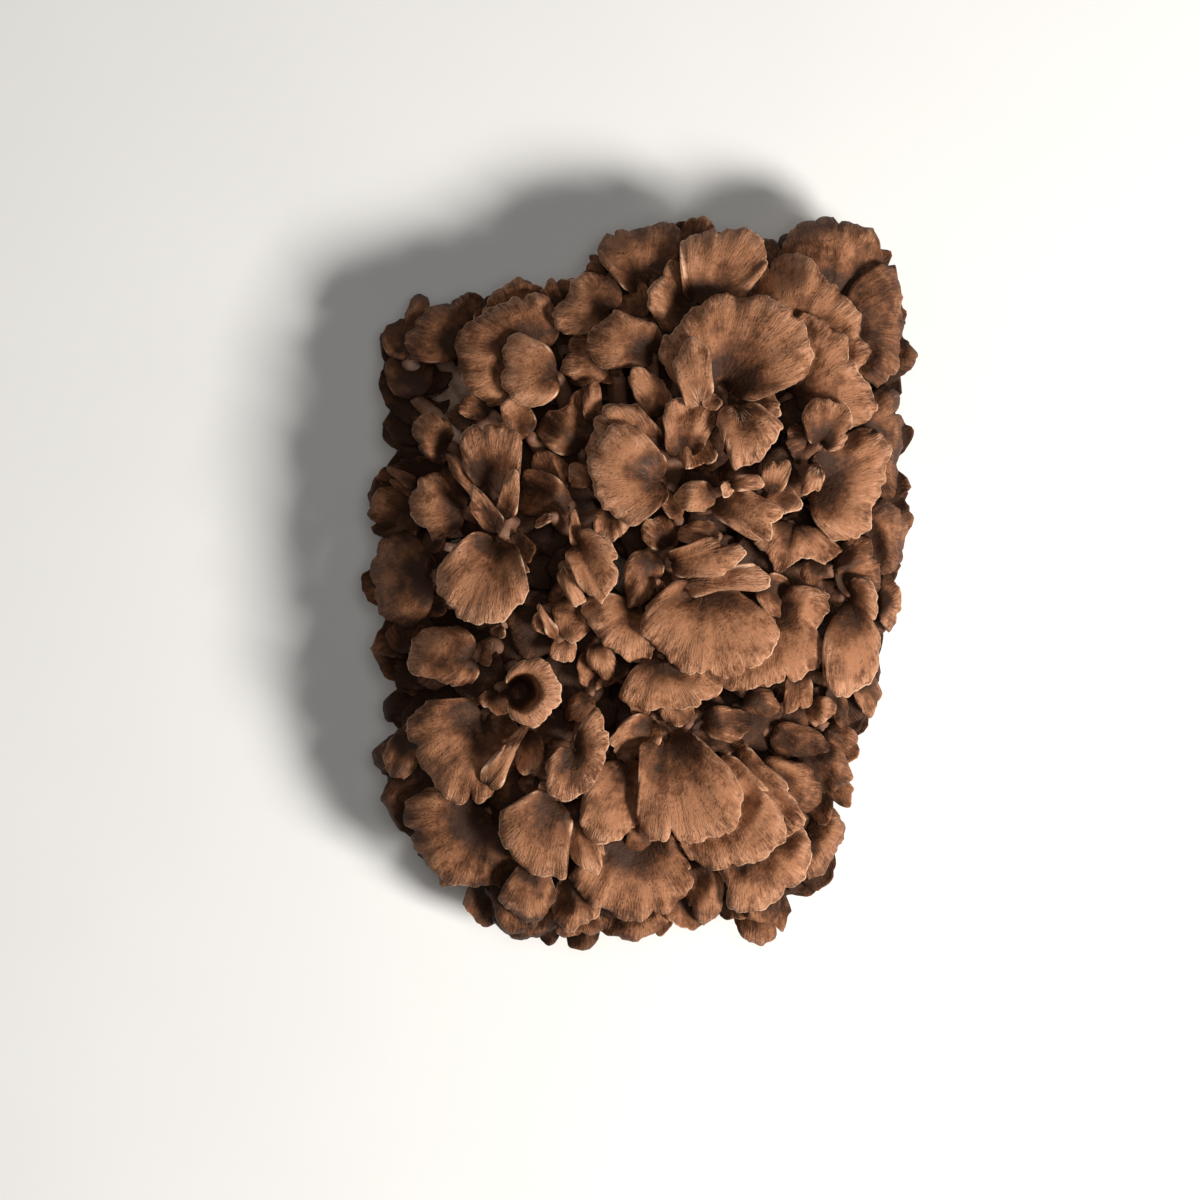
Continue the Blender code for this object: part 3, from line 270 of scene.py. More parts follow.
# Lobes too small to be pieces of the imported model, by the piece that they make together:
# where each leaves its stalk, the middle of its rim, half its width, and its level in the pile
LOBES = {
    "crown_lobes": (
        (7, 34, 1.3, 42.8, 3.5, 1), (11, 44, 6, 49, 3, 1), (12, 33, 13.5, 22.5, 4, 1),
        (18, 37, 14.5, 36, 2, 0), (8, 25, 3, 32.5, 1.7, 1), (19.5, 38, 30.3, 36, 3.5, 2),
        (19.5, 20, 27.3, 20.8, 1.6, 0), (20.5, 20.5, 18, 17.8, 1.4, 0), (17, 18.5, 9.6, 16.5, 3.3, 1),
        (10, 13, 6, 19.2, 1.7, 2), (28, 18, 30, 26, 2.8, 2), (26.5, 19.5, 33.5, 14.5, 3, 2),
        (18, 10, 10, 10.5, 3, 2), (-10, 7, -11.9, 14.7, 1.3, 1), (-13.5, 4, -10, -5, 1.8, 1.5),
        (8, 7.5, 3.5, 13.5, 3.5, 2.5), (4.5, 7, 0, -3.3, 4, 2), (-4, 16, -3.5, 8.7, 3.7, 3),
        (-7, 21, -13, 22.5, 2.5, 2.5), (6.5, -2, 5.6, 1.6, 1, 1.5), (26, 1, 33, -5, 4, 2.5),
        (9, -22, 9.5, -28.2, 3.7, 4), (2, -22, 2.5, -27, 2.2, 4), (15, -23, 13.5, -26, 1, 4),
        (-6.5, -11.5, -5, -18.5, 3, 3.5), (0, -15, -6.5, -21, 1.5, 4), (-13, -2, -10.5, -11.6, 3.5, 3),
        (-13, -10, -13.5, -15.8, 2.7, 4), (-8, -13, -9.5, -20, 2, 4), (-8, -22, -12, -27, 3, 5),
        (-14.5, -11, -19, -3.3, 0.8, 2), (-17, -5, -18.5, -10, 2, 3),
    ),
    "north_lobes": (
        (-21, 50, -23, 61.5, 8, 3.2), (-15, 56, -17, 62.3, 2, 3), (-12, 57, -13, 63, 2, 3),
        (-30, 52, -27, 59.3, 3, 4), (-42, 50, -43, 59.5, 3.5, 5), (-46, 46, -47, 55.5, 4.5, 5),
        (-5, 62, -9, 65.5, 2, 4), (-4, 64, -7.5, 68, 1.5, 4), (13, 69, 14.5, 75.3, 3.5, 4),
        (3, 59, 1.5, 64.3, 2.7, 3.5), (3, 54, -1, 60.8, 3.7, 3), (-2, 42, -10, 44, 2, 3),
    ),
    "east_lobes": (
        (48, 48, 57.8, 46, 6, 5), (38, 24, 35.5, 17.8, 2, 2), (38, 30, 31, 27.5, 4, 3.5),
        (38, 5, 36, 0.2, 2.5, 3), (50.5, -4, 55.5, -3.5, 6, 4), (46, -17, 50.5, -26, 3, 4),
        (30, -5, 31, -10.3, 2, 3), (34, -2, 40, -3.5, 2.5, 4), (42, 0, 43, -7, 1.5, 4),
        (23, -22, 29.5, -25, 3, 3.5), (34, -17, 34, -26.8, 3, 4), (36, -24, 41, -27, 3.3, 4),
        (28, -30, 39.5, -33, 3.5, 4), (41, -20, 44, -28.5, 2, 5), (40, -29, 45.8, -34, 3.3, 5),
        (35, -33, 44.3, -41, 5, 4.5),
    ),
    "south_lobes": (
        (38, -42, 39.5, -48.5, 2.7, 4.5), (41, -40, 46, -44.5, 2.5, 5), (34, -58, 35, -63.8, 2.2, 5),
        (27, -62, 28.5, -69.2, 3.5, 5), (15, -55, 15, -68.2, 4.2, 4), (4, -46, 2.8, -57.7, 4.3, 3),
        (-1, -47, -1, -56, 1.8, 3.2), (-11, -43, -8.5, -58.2, 4, 2.5), (-10, -59, -11, -69.5, 5.5, 4),
        (-17, -68, -16.5, -74, 2.5, 6), (-10, -66, -10, -72.6, 5, 5), (-29, -60, -31, -70, 4, 5.5),
        (12, -63, 13, -70, 5.5, 5), (7, -67, 7, -71.7, 2, 6), (21, -64, 21.5, -69, 3, 5),
        (14, -27, 24.8, -28.5, 3.5, 3.5), (12, -29, 22.5, -33, 2.8, 3.8), (5, -27, -2, -34.5, 4.5, 3.5),
        (-20, -29, -20, -38.7, 2.8, 2), (-20, -38, -21, -43, 2.3, 4), (-17, -39, -17.5, -42.8, 1.2, 3),
        (-29.5, -41.5, -21.3, -28.6, 1.7, 1.4),
    ),
    "west_lobes": (
        (-44, 38, -46, 50, 5, 5), (-20, 30, -26, 35.8, 4, 2), (-28, 35, -34.3, 37.5, 3, 3),
        (-31, 33, -36.7, 34.5, 2.5, 4), (-27, 16, -36, 25.8, 2.3, 3), (-26, 10.5, -32.3, 19, 2.2, 1),
        (-24.5, 10, -18.6, 5, 2.2, 1), (-24, 6, -20.5, 2.2, 1, 1), (-25, 13, -23.5, 22.5, 2, 1),
        (-25.5, 14, -27, 17.5, 1.2, 1), (-25.5, 13, -26.5, 16, 1, 1), (-15.5, 14, -19.3, 11.8, 1, 1),
        (-14, 19, -18, 26.5, 4, 3), (-7, 32, -8, 40.7, 2, 2), (-39, 3, -45.3, 2.5, 4.5, 5),
        (-38, 8, -42, 10.5, 3, 5), (-43, 20, -49, 24, 1.2, 5), (-42, 18, -48.5, 21, 1.2, 5),
        (-31, -13, -27.2, -14, 2.7, 3), (-27, -21, -28, -26, 3.3, 2), (-45, -30, -47, -39, 4, 5),
        (-45, -14, -45.5, -6.8, 4.5, 5), (-26, -8, -27, -11, 1.7, 4), (-37, -4, -42, -4.5, 2.3, 5),
    ),
}

LOBE_STYLES = ("fan", "flat", "dish", "fan", "hood")  # taken in turn within a group

SEEDS = 9.7  # a cap's seed lies below this

# The foot's rings from the bottom up: height, half its width in x and in y, and how full it is there
FOOT = ((-4.0, 22, 26, 0.96), (0.0, 22, 26, 1.0), (3.0, 26, 31, 1.07), (8.0, 26, 31, 1.0),
        (12.0, 26, 31, 0.86), (15.0, 26, 31, 0.62))
BRANCH_FROM = 0.42  # a branch leaves the foot this share of the way out to its cap
BRANCH_LOW = 9.0  # and at this height
BRANCH_THICK = 3.4  # with this radius
BRANCH_SAG = 0.06
BRANCH_SIDES = 12
BRANCH_RINGS = 13
STEM_VOXEL = 0.80

# Rows of caps round the sides: how many, where they start as a share of the way to the outline, their level,
# and half their width
SKIRT_ROWS = ((32, 0.76, 5.5, 6.0), (25, 0.72, 8.0, 6.8), (19, 0.66, 11.5, 7.5))
SKIRT_REACH = 0.21

# Layers of hidden caps: their level, half their width, how near the outline they start, and how much darker
# their skin is painted, as painted shade in the gaps under the caps above
INNER_LAYERS = ((6.5, 6.0, 0.80, -0.34), (10.0, 8.0, 0.66, -0.45))
INNER_ACROSS = 8.0  # from one to the next in x and in y
INNER_DOWN = 7.4
INNER_LENGTH = 11.0


def ripple(s, seed, length):
    """A smooth wander between about -1 and 1 along s: three sines of lengths near the one given."""
    rate = 2 * math.pi / (length * np.array([1.0, 0.62, 0.41]))
    phase = seed * np.array([1.7, 2.9, 4.3])
    return (np.array([0.5, 0.32, 0.18]) * np.sin(np.asarray(s)[..., None] * rate + phase)).sum(-1)


def smooth_rim(points, step):
    """Places about a step apart along a rim, and how far along it each is: a cubic in the distance along it,
    through each of its points, run once more to space them evenly."""
    knots = np.array(points, float)
    length = np.linalg.norm(np.diff(knots, axis=0), axis=1)
    along = np.concatenate(([0.0], np.cumsum(length)))
    slope = np.gradient(knots, along, axis=0)
    count = max(12, int(along[-1] / step))
    fine = np.sort(np.concatenate([np.linspace(0, along[-1], count + 1), np.array([0.12, 0.35]),
                                   along[-1] - np.array([0.12, 0.35])]))
    k = np.clip(np.searchsorted(along, fine, side="right") - 1, 0, len(length) - 1)
    span = length[k][:, None]
    w = (fine - along[k])[:, None] / span
    place = (1 + 2 * w) * (1 - w) ** 2 * knots[k] + w * (1 - w) ** 2 * span * slope[k]
    place = place + w**2 * (3 - 2 * w) * knots[k + 1] + w**2 * (w - 1) * span * slope[k + 1]
    return place, fine


def reach_of_outline(turn):
    """How far the outline is from the dome's middle in a direction, straight between its points."""
    points = np.array(DOME_OUTLINE, float) - DOME_MIDDLE
    turns = np.arctan2(points[:, 1], points[:, 0]) % (2 * math.pi)
    order = np.argsort(turns)
    return np.interp(turn, turns[order], np.hypot(*points[order].T), period=2 * math.pi)


def dome(place):
    """Height of the cluster over places in plan: a level top that falls ever more steeply to its edge."""
    run = place - DOME_MIDDLE
    turn = np.arctan2(run[..., 1], run[..., 0])
    out = np.linalg.norm(run, axis=-1) / (DOME_SPREAD * reach_of_outline(turn))
    fall = np.sqrt(1.0 - np.clip(out, 0.0, 1.0) ** DOME_POWER)
    return DOME_EDGE + (DOME_TOP - DOME_EDGE) * fall - DOME_SKIRT * np.clip(out - 1.0, 0.0, None)


def lobe_rim(start, tip, half, seed=0.0):
    """Points of a small lobe's rim: half an oval round its outer part, as wide as given a bit past its
    middle, skewed to one side, with two or three swellings."""
    start = np.array(start, float)
    run = np.array(tip, float) - start
    length = np.linalg.norm(run)
    ahead = run / length
    left = np.array([-ahead[1], ahead[0]])
    t = np.linspace(-1.0, 1.0, 9)[:, None]
    swell = 1.0 + 0.10 * np.sin((3.0 + seed % 2.0) * t + 1.7 * seed)
    skew = 0.22 * half * math.sin(2.9 * seed) * np.cos(1.6 * t)
    forward = length * (0.60 + 0.40 * np.cos(1.95 * t)) * swell
    return start + forward * ahead + (half * np.sin(1.75 * t) + skew) * left


class Cap:
    """One cap: the plan, top and thickness of its flesh on lines from its stalk and lines along its rim."""

    def __init__(self, style, level, root, rim, seed, step=LINE_STEP, tone=0.0):
        self.level = level
        self.seed = seed
        self.tone = tone
        dip, level_from, droop, sides, wave, power = STYLES[style]
        start = np.array(root, float)
        edge, s = smooth_rim(rim, step)
        ray = edge - start
        reach = np.linalg.norm(ray, axis=1)
        self.size = size = float(np.median(reach))
        span = s[-1]

        wander = 0.55 * ripple(s, seed, 8.5) + 0.22 * ripple(s, seed + 3.0, 2.6)
        wander = wander * min(1.0, size / 9.0)
        dent = np.zeros_like(s)
        for k in range(int(span / (17.0 if size > 8.0 else 9.0)) if size > 3.5 else 0):
            at = span * (0.08 + 0.84 * ((0.31 + 0.618 * k + 0.37 * seed) % 1.0))
            deep = size * (0.05 + 0.16 * ((0.7 * k + 0.53 * seed) % 1.0) ** 2)
            dent = dent + deep * np.exp(-np.abs(s - at) / (0.5 + 0.5 * (1.9 * k % 1.0)))
        far = np.maximum(reach + wander - np.minimum(dent, 0.28 * size), 0.6 * reach)
        ends = np.clip(np.minimum(s, span - s) / 1.5, 0.0, 1.0)
        far = reach + (far - reach) * ends

        inner = np.linspace(NECK, 1.0 - MARGIN / size, max(4, int(size / (1.6 * step))))
        outer = 1.0 - MARGIN / size * np.array([0.55, 0.28, 0.10, 0.02, 0.0])
        v = np.concatenate([inner, outer])
        self.v = v = np.broadcast_to(v, (len(s), len(v)))
        self.s = s = np.broadcast_to(s[:, None], v.shape)
        away = ray / reach[:, None]
        turned = (ray[:-1, 0] * ray[1:, 1] - ray[:-1, 1] * ray[1:, 0]).sum()
        self.out = v * reach[:, None] + (far - reach)[:, None] * v**3
        u = 2.0 * s / span - 1.0
        swell = BULGE * size * np.sin(math.pi * np.clip(v, 0.0, 1.0)) * u * np.abs(u)
        along = np.stack([-away[:, 1], away[:, 0]], -1) * (1.0 if turned > 0 else -1.0)
        self.plan = start + self.out[..., None] * away[:, None, :] + swell[..., None] * along[:, None, :]

        turn = np.unwrap(np.arctan2(ray[:, 1], ray[:, 0]))
        swing = np.minimum(np.abs(turn - turn[0]), np.abs(turn[-1] - turn))
        to_side = self.out * np.sin(np.minimum(swing, 0.5 * math.pi))[:, None]
        self.margin = np.minimum(to_side, (1.0 - v) * far[:, None])
        self.margin[[0, -1]] = 0.0
        self.round = np.sqrt(1.0 - (1.0 - np.minimum(self.margin, MARGIN) / MARGIN) ** 2)

        shape = -dip * np.clip(1.0 - v / level_from, 0.0, None) ** power
        shape = shape - droop * np.clip((v - 0.55) / 0.45, 0.0, None) ** 2 - sides * np.abs(u) ** 3 * v
        lean = 0.07 + 0.22 * max(0.0, 1.0 - size / 9.0)
        shape = shape + lean * math.sin(7.3 * seed) * u * v + 0.7 * lean * math.sin(3.1 * seed) * v
        ruffle = wave * min(1.0, size / 7.0)
        waves = 1.10 * ripple(s, seed + 1.0, min(13.0, 1.1 * size)) * v**2.5
        waves = waves + 0.40 * ripple(s, seed + 4.0, min(5.0, 0.6 * size)) * v**4
        waves = waves + 0.07 * ripple(s, seed + 2.0, 2.0) * v**3 - 0.12 * dent[:, None] * v**6
        roll = 0.5 * np.clip(1.0 - self.margin / 1.6, 0.0, 1.0) ** 2
        self.top = dome(self.plan) - LEVEL_STEP * level + size * shape + ruffle * waves - roll

    def thickness(self):
        """Height from a cap's underside to its top, so that a steep part is as thick as a level one."""
        rise = np.gradient(self.top, axis=1)
        run = np.maximum(np.linalg.norm(np.gradient(self.plan, axis=1), axis=-1), 0.02)
        steep = np.clip(np.abs(rise) / run, 0.0, 1.5)
        thin = (self.v - NECK) / (1.0 - NECK)
        full = min(1.0, 0.55 + self.size / 25.0) * (CAP_ROOT + (CAP_RIM - CAP_ROOT) * thin)
        return full * np.sqrt(1.0 + steep**2)


def map_place(place):
    """Row and column, with fractions, of places in plan on the map of the room under the laid caps."""
    cell = (place + MAP_HALF) / MAP_CELL
    return cell[..., 1], cell[..., 0]


def press(cap, room):
    """Lower a cap so that it passes under all that is laid and comes up from there no more steeply than set.
    The allowed height is the least, over all cells near by, of the room there and the way up from it."""
    row, column = map_place(cap.plan)
    low = np.array([row.min(), column.min()]).astype(int) - MAP_REACH
    high = np.array([row.max(), column.max()]).astype(int) + MAP_REACH + 2
    part = room[low[0]:high[0], low[1]:high[1]].copy()
    straight = CAP_SLOPE * MAP_CELL
    for _ in range(MAP_REACH):
        wide = np.pad(part, 1, mode="edge")
        sides = np.minimum.reduce([wide[:-2, 1:-1], wide[2:, 1:-1], wide[1:-1, :-2], wide[1:-1, 2:]])
        corners = np.minimum.reduce([wide[:-2, :-2], wide[2:, :-2], wide[:-2, 2:], wide[2:, 2:]])
        part = np.minimum.reduce([part, sides + straight, corners + 1.414 * straight])
    down = row - low[0]
    across = column - low[1]
    i = down.astype(int)
    j = across.astype(int)
    fi = down - i
    fj = across - j
    upper = part[i, j] * (1 - fj) + part[i, j + 1] * fj
    lower = part[i + 1, j] * (1 - fj) + part[i + 1, j + 1] * fj
    allowed = upper * (1 - fi) + lower * fi - CAP_GAP
    share = np.clip(0.5 + 0.5 * (allowed - cap.top) / SOFT_PRESS, 0.0, 1.0)
    cap.top = allowed * (1 - share) + cap.top * share - SOFT_PRESS * share * (1 - share)
    cap.top = np.maximum(cap.top, LOWEST + 0.1 * cap.v)


def lay(cap, room):
    """Enter the underside of a cap's blade on the map, and one cell all round it."""
    blade = cap.v > OPEN_FROM
    row, column = map_place(cap.plan[blade])
    row = np.rint(row).astype(int)
    column = np.rint(column).astype(int)
    under = (cap.top - cap.thickness())[blade]
    for down in (-1, 0, 1):
        for across in (-1, 0, 1):
            np.minimum.at(room, (row + down, column + across), under)


def leaf(cap):
    """The closed skin of a cap as points, faces and attributes: its two sheets share their edge."""
    half = 0.5 * cap.thickness() * np.maximum(cap.round, 0.0)
    middle = cap.top - 0.5 * cap.thickness()
    top = np.dstack([cap.plan, np.maximum(middle + half, FLOOR_CLEAR)])
    low = np.dstack([cap.plan, np.maximum(middle - half, FLOOR_CLEAR)])
    rows, columns = cap.v.shape
    upper = np.arange(rows * columns).reshape(rows, columns)
    lower = upper + rows * columns
    lower[0] = upper[0]
    lower[-1] = upper[-1]
    lower[:, -1] = upper[:, -1]
    turned = np.cross(cap.plan[1:, -1] - cap.plan[:1, 0], cap.plan[:-1, -1] - cap.plan[:1, 0]).sum() > 0
    faces = [np.stack([upper[:-1, :-1], upper[:-1, 1:], upper[1:, 1:], upper[1:, :-1]], -1).reshape(-1, 4),
             np.stack([lower[:-1, :-1], lower[1:, :-1], lower[1:, 1:], lower[:-1, 1:]], -1).reshape(-1, 4),
             np.stack([upper[1:-2, 0], upper[2:-1, 0], lower[2:-1, 0], lower[1:-2, 0]], -1)]
    ends = [[upper[0, 0], upper[1, 0], lower[1, 0]], [upper[-1, 0], lower[-2, 0], upper[-2, 0]]]
    faces = np.concatenate(faces).tolist() + [[int(corner) for corner in end] for end in ends]
    if turned:
        faces = [face[::-1] for face in faces]
    seed = np.full(cap.v.shape, cap.seed % 10.0)
    # painted shade: the skin is painted darker the deeper it lies under the dome, on top of the cap's own
    # tone
    deep = np.clip(dome(cap.plan) - cap.top - PAINTED_SHADE_FROM, 0.0, 12.0)
    tone = cap.tone - PAINTED_SHADE_STEP * deep
    fan = np.dstack([cap.v, seed, tone]).reshape(-1, 3)
    edge = np.dstack([cap.s, cap.out, cap.margin]).reshape(-1, 3)
    side = np.concatenate([np.zeros(rows * columns), np.ones(rows * columns)])
    points = np.concatenate([top.reshape(-1, 3), low.reshape(-1, 3)])
    return points, faces, np.tile(fan, (2, 1)), np.tile(edge, (2, 1)), side


def caps_piece(name, caps, material):
    """One object of one or more caps, with the attributes that their skin is painted by."""
    parts = [leaf(cap) for cap in caps]
    points = np.concatenate([part[0] for part in parts])
    starts = np.cumsum([0] + [len(part[0]) for part in parts]).tolist()
    faces = [[corner + start for corner in face] for start, part in zip(starts, parts) for face in part[1]]
    used = np.zeros(len(points), bool)
    for face in faces:
        used[face] = True
    number = np.cumsum(used) - 1
    mesh = bpy.data.meshes.new(name)
    mesh.from_pydata((points[used] * MM).tolist(), [], [[int(number[c]) for c in face] for face in faces])
    for title, which in (("fan", 2), ("edge", 3)):
        values = np.concatenate([part[which] for part in parts])[used]
        mesh.attributes.new(title, "FLOAT_VECTOR", "POINT").data.foreach_set("vector", values.ravel())
    side = np.concatenate([part[4] for part in parts])[used]
    mesh.attributes.new("side", "FLOAT", "POINT").data.foreach_set("value", side)
    mesh.shade_smooth()
    return add_piece(name, mesh, material)


def add_piece(name, mesh, material):
    mesh.materials.append(material)
    piece = bpy.data.objects.new(name, mesh)
    bpy.context.scene.collection.objects.link(piece)
    return piece


def tube(start, end, thick, thin, bend):
    """A tapering branch as points and faces: circles square to a path that bends once."""
    t = np.linspace(0.0, 1.0, BRANCH_RINGS)
    middle = 0.5 * (start + end) + np.array([0.0, 0.0, bend])
    way = ((1 - t) ** 2)[:, None] * start + (2 * t * (1 - t))[:, None] * middle + (t**2)[:, None] * end
    run = np.gradient(way, axis=0)
    run = run / np.linalg.norm(run, axis=1)[:, None]
    side = np.cross(run, np.array([0.31, 0.95, 0.05]))
    side = side / np.linalg.norm(side, axis=1)[:, None]
    up = np.cross(side, run)
    radius = thick + (thin - thick) * t + 0.12 * np.sin(9.0 * t + start[0])
    turn = np.linspace(0.0, 2 * math.pi, BRANCH_SIDES, endpoint=False)
    circle = np.cos(turn)[None, :, None] * side[:, None, :] + np.sin(turn)[None, :, None] * up[:, None, :]
    points = way[:, None, :] + radius[:, None, None] * circle
    number = np.arange(len(t) * BRANCH_SIDES).reshape(len(t), BRANCH_SIDES)
    after = np.roll(number, -1, axis=1)
    walls = np.stack([number[:-1], after[:-1], after[1:], number[1:]], -1).reshape(-1, 4)
    return points.reshape(-1, 3), walls.tolist() + [number[0, ::-1].tolist(), number[-1].tolist()]


def stem_piece(caps, material):
    """The stem as one skin: a lumpy foot cut flat, and a branch to each cap."""
    rings = np.array(FOOT)
    turn = np.linspace(0.0, 2 * math.pi, 96, endpoint=False)
    lumps = 1.0 + 0.06 * np.sin(3 * turn + 0.6) + 0.04 * np.sin(5 * turn + 2.0)
    lumps = lumps + 0.012 * np.sin(17 * turn) + 0.008 * np.sin(29 * turn + 1.0)
    x = (rings[:, 1] * rings[:, 3])[:, None] * lumps * np.cos(turn)
    y = (rings[:, 2] * rings[:, 3])[:, None] * lumps * np.sin(turn)
    z = np.broadcast_to(rings[:, :1], x.shape)
    number = np.arange(x.size).reshape(x.shape)
    after = np.roll(number, -1, axis=1)
    faces = np.stack([number[:-1], after[:-1], after[1:], number[1:]], -1).reshape(-1, 4).tolist()
    faces = faces + [number[0, ::-1].tolist(), number[-1].tolist()]
    points = [np.stack([x, y, z], -1).reshape(-1, 3)]
    total = x.size
    for cap in caps:
        plan = cap.plan[:, 0].mean(axis=0)
        thick = 1.0 + 0.05 * cap.size
        under = (cap.top - 0.5 * cap.thickness())[:, 0].mean()
        start = np.array([*(BRANCH_FROM * plan), BRANCH_LOW])
        end = np.array([*plan, under])
        bend = -BRANCH_SAG * np.linalg.norm(end - start)
        more, walls = tube(start, end, BRANCH_THICK, thick, bend)
        points.append(more)
        faces.extend([[corner + total for corner in face] for face in walls])
        total += len(more)
    mesh = bpy.data.meshes.new("stem_flesh")
    mesh.from_pydata((np.concatenate(points) * MM).tolist(), [], faces)
    piece = add_piece("stem_finished", mesh, material)
    skin = piece.modifiers.new("skin", "REMESH")
    skin.mode = "VOXEL"
    skin.voxel_size = STEM_VOXEL * MM
    skin.adaptivity = 0.0
    ease = piece.modifiers.new("ease", "SMOOTH")
    ease.factor = 0.5
    ease.iterations = 3
    view = bpy.context.evaluated_depsgraph_get()
    whole = bpy.data.meshes.new_from_object(piece.evaluated_get(view))
    piece.modifiers.clear()
    work = bmesh.new()
    work.from_mesh(whole)
    everything = list(work.verts) + list(work.edges) + list(work.faces)
    cut = bmesh.ops.bisect_plane(
        work, geom=everything, plane_co=(0, 0, 0), plane_no=(0, 0, -1), clear_outer=True)
    rim = [edge for edge in cut["geom_cut"] if isinstance(edge, bmesh.types.BMEdge)]
    foot = bmesh.ops.edgeloop_fill(work, edges=rim)["faces"]
    bmesh.ops.triangulate(work, faces=foot)
    bmesh.ops.recalc_face_normals(work, faces=work.faces)
    for face in work.faces:
        face.smooth = face.calc_center_median().z > 0.1 * MM
    work.to_mesh(whole)
    work.free()
    piece.data = whole
    return piece


class Wire:
    """A value in a material, so that its maths is written as Python expressions that add Math nodes."""

    def __init__(self, paint, socket):
        self.paint = paint
        self.socket = socket

    def _math(self, kind, first, second=0.0):
        return self.paint.node("ShaderNodeMath", {"operation": kind}, {0: first, 1: second}).value(0)

    def __add__(self, other):
        return self._math("ADD", self, other)

    __radd__ = __add__

    def __sub__(self, other):
        return self._math("SUBTRACT", self, other)

    def __rsub__(self, other):
        return self._math("SUBTRACT", other, self)

    def __mul__(self, other):
        return self._math("MULTIPLY", self, other)

    __rmul__ = __mul__

    def __truediv__(self, other):
        return self._math("DIVIDE", self, other)

    def __pow__(self, other):
        return self._math("POWER", self, other)

    def ramp(self, low, high):
        """0 below low and 1 above high with an easy rise between, or the reverse if low is higher."""
        settings = {"interpolation_type": "SMOOTHSTEP"}
        a, b, start, end = (low, high, 0.0, 1.0) if low < high else (high, low, 1.0, 0.0)
        inputs = {0: self, 1: a, 2: b, 3: start, 4: end}
        return self.paint.node("ShaderNodeMapRange", settings, inputs).value(0)


class Node:
    """A node of a material, with its outputs as values or as they are."""

    def __init__(self, paint, node):
        self.paint = paint
        self.node = node

    def value(self, which):
        return Wire(self.paint, self.node.outputs[which])

    def out(self, which):
        return self.node.outputs[which]


class Paint:
    """A material and its nodes."""

    def __init__(self, name):
        self.material = bpy.data.materials.new(name)
        self.material.use_nodes = True
        self.tree = self.material.node_tree
        self.shader = self.tree.nodes["Principled BSDF"]

    def node(self, kind, settings=None, inputs=None):
        """A node of a type, with its settings, then the values or links of its sockets."""
        node = self.tree.nodes.new(kind)
        for key, value in (settings or {}).items():
            setattr(node, key, value)
        for key, value in (inputs or {}).items():
            self.plug(node.inputs[key], value)
        return Node(self, node)

    def plug(self, socket, value):
        if isinstance(value, Wire):
            self.tree.links.new(value.socket, socket)
        elif isinstance(value, bpy.types.NodeSocket):
            self.tree.links.new(value, socket)
        else:
            socket.default_value = value

    def mix(self, share, first, second, blend="MIX"):
        """A colour that goes from the first to the second as the share goes from 0 to 1."""
        settings = {"data_type": "RGBA", "blend_type": blend, "clamp_factor": True}
        colours = [(*colour, 1.0) if isinstance(colour, tuple) else colour for colour in (first, second)]
        return self.node("ShaderNodeMix", settings, {0: share, 6: colours[0], 7: colours[1]}).out(2)

    def noise(self, vector, scale, detail=2.0, rough=0.5):
        """Smooth noise from 0 to 1 about 0.5."""
        inputs = {"Vector": vector, "Scale": scale, "Detail": detail, "Roughness": rough}
        return self.node("ShaderNodeTexNoise", None, inputs).value(0)

    def together(self, x, y, z):
        return self.node("ShaderNodeCombineXYZ", None, {0: x, 1: y, 2: z}).out(0)

    def attribute(self, name):
        """The three values of a vector attribute."""
        vector = self.node("ShaderNodeAttribute", {"attribute_name": name}).out("Vector")
        parts = self.node("ShaderNodeSeparateXYZ", None, {0: vector})
        return parts.value(0), parts.value(1), parts.value(2)

    def finish(self, colour, roughness, height, depth, strength):
        """Join a colour, a roughness and a height in the given depth in metres to the shader."""
        bump = self.node("ShaderNodeBump", None, {"Strength": strength, "Distance": depth, "Height": height})
        self.plug(self.shader.inputs["Base Color"], colour)
        self.plug(self.shader.inputs["Roughness"], roughness)
        self.plug(self.shader.inputs["Normal"], bump.out(0))
        self.shader.inputs["Metallic"].default_value = 0.0
        return self.material


# Colours of the finishes, as the light there is in them. The first three, darkest first, are shaded and lit
# copies of the cap skin: painted shade and painted light. The second is also the real brown of stains and
# streaks, and the light tan is both painted light near the rim and the real pale streaks.
PAINTED_SHADE_BROWN = (0.042, 0.017, 0.008)
BROWN = (0.150, 0.056, 0.023)
FAN_BROWN = (0.335, 0.145, 0.069)
LIGHT_TAN = (0.545, 0.275, 0.158)
PALE_RIM = (0.720, 0.450, 0.290)
SPECK = (0.060, 0.024, 0.011)
CREAM = (0.640, 0.500, 0.380)
PORE = (0.420, 0.290, 0.200)


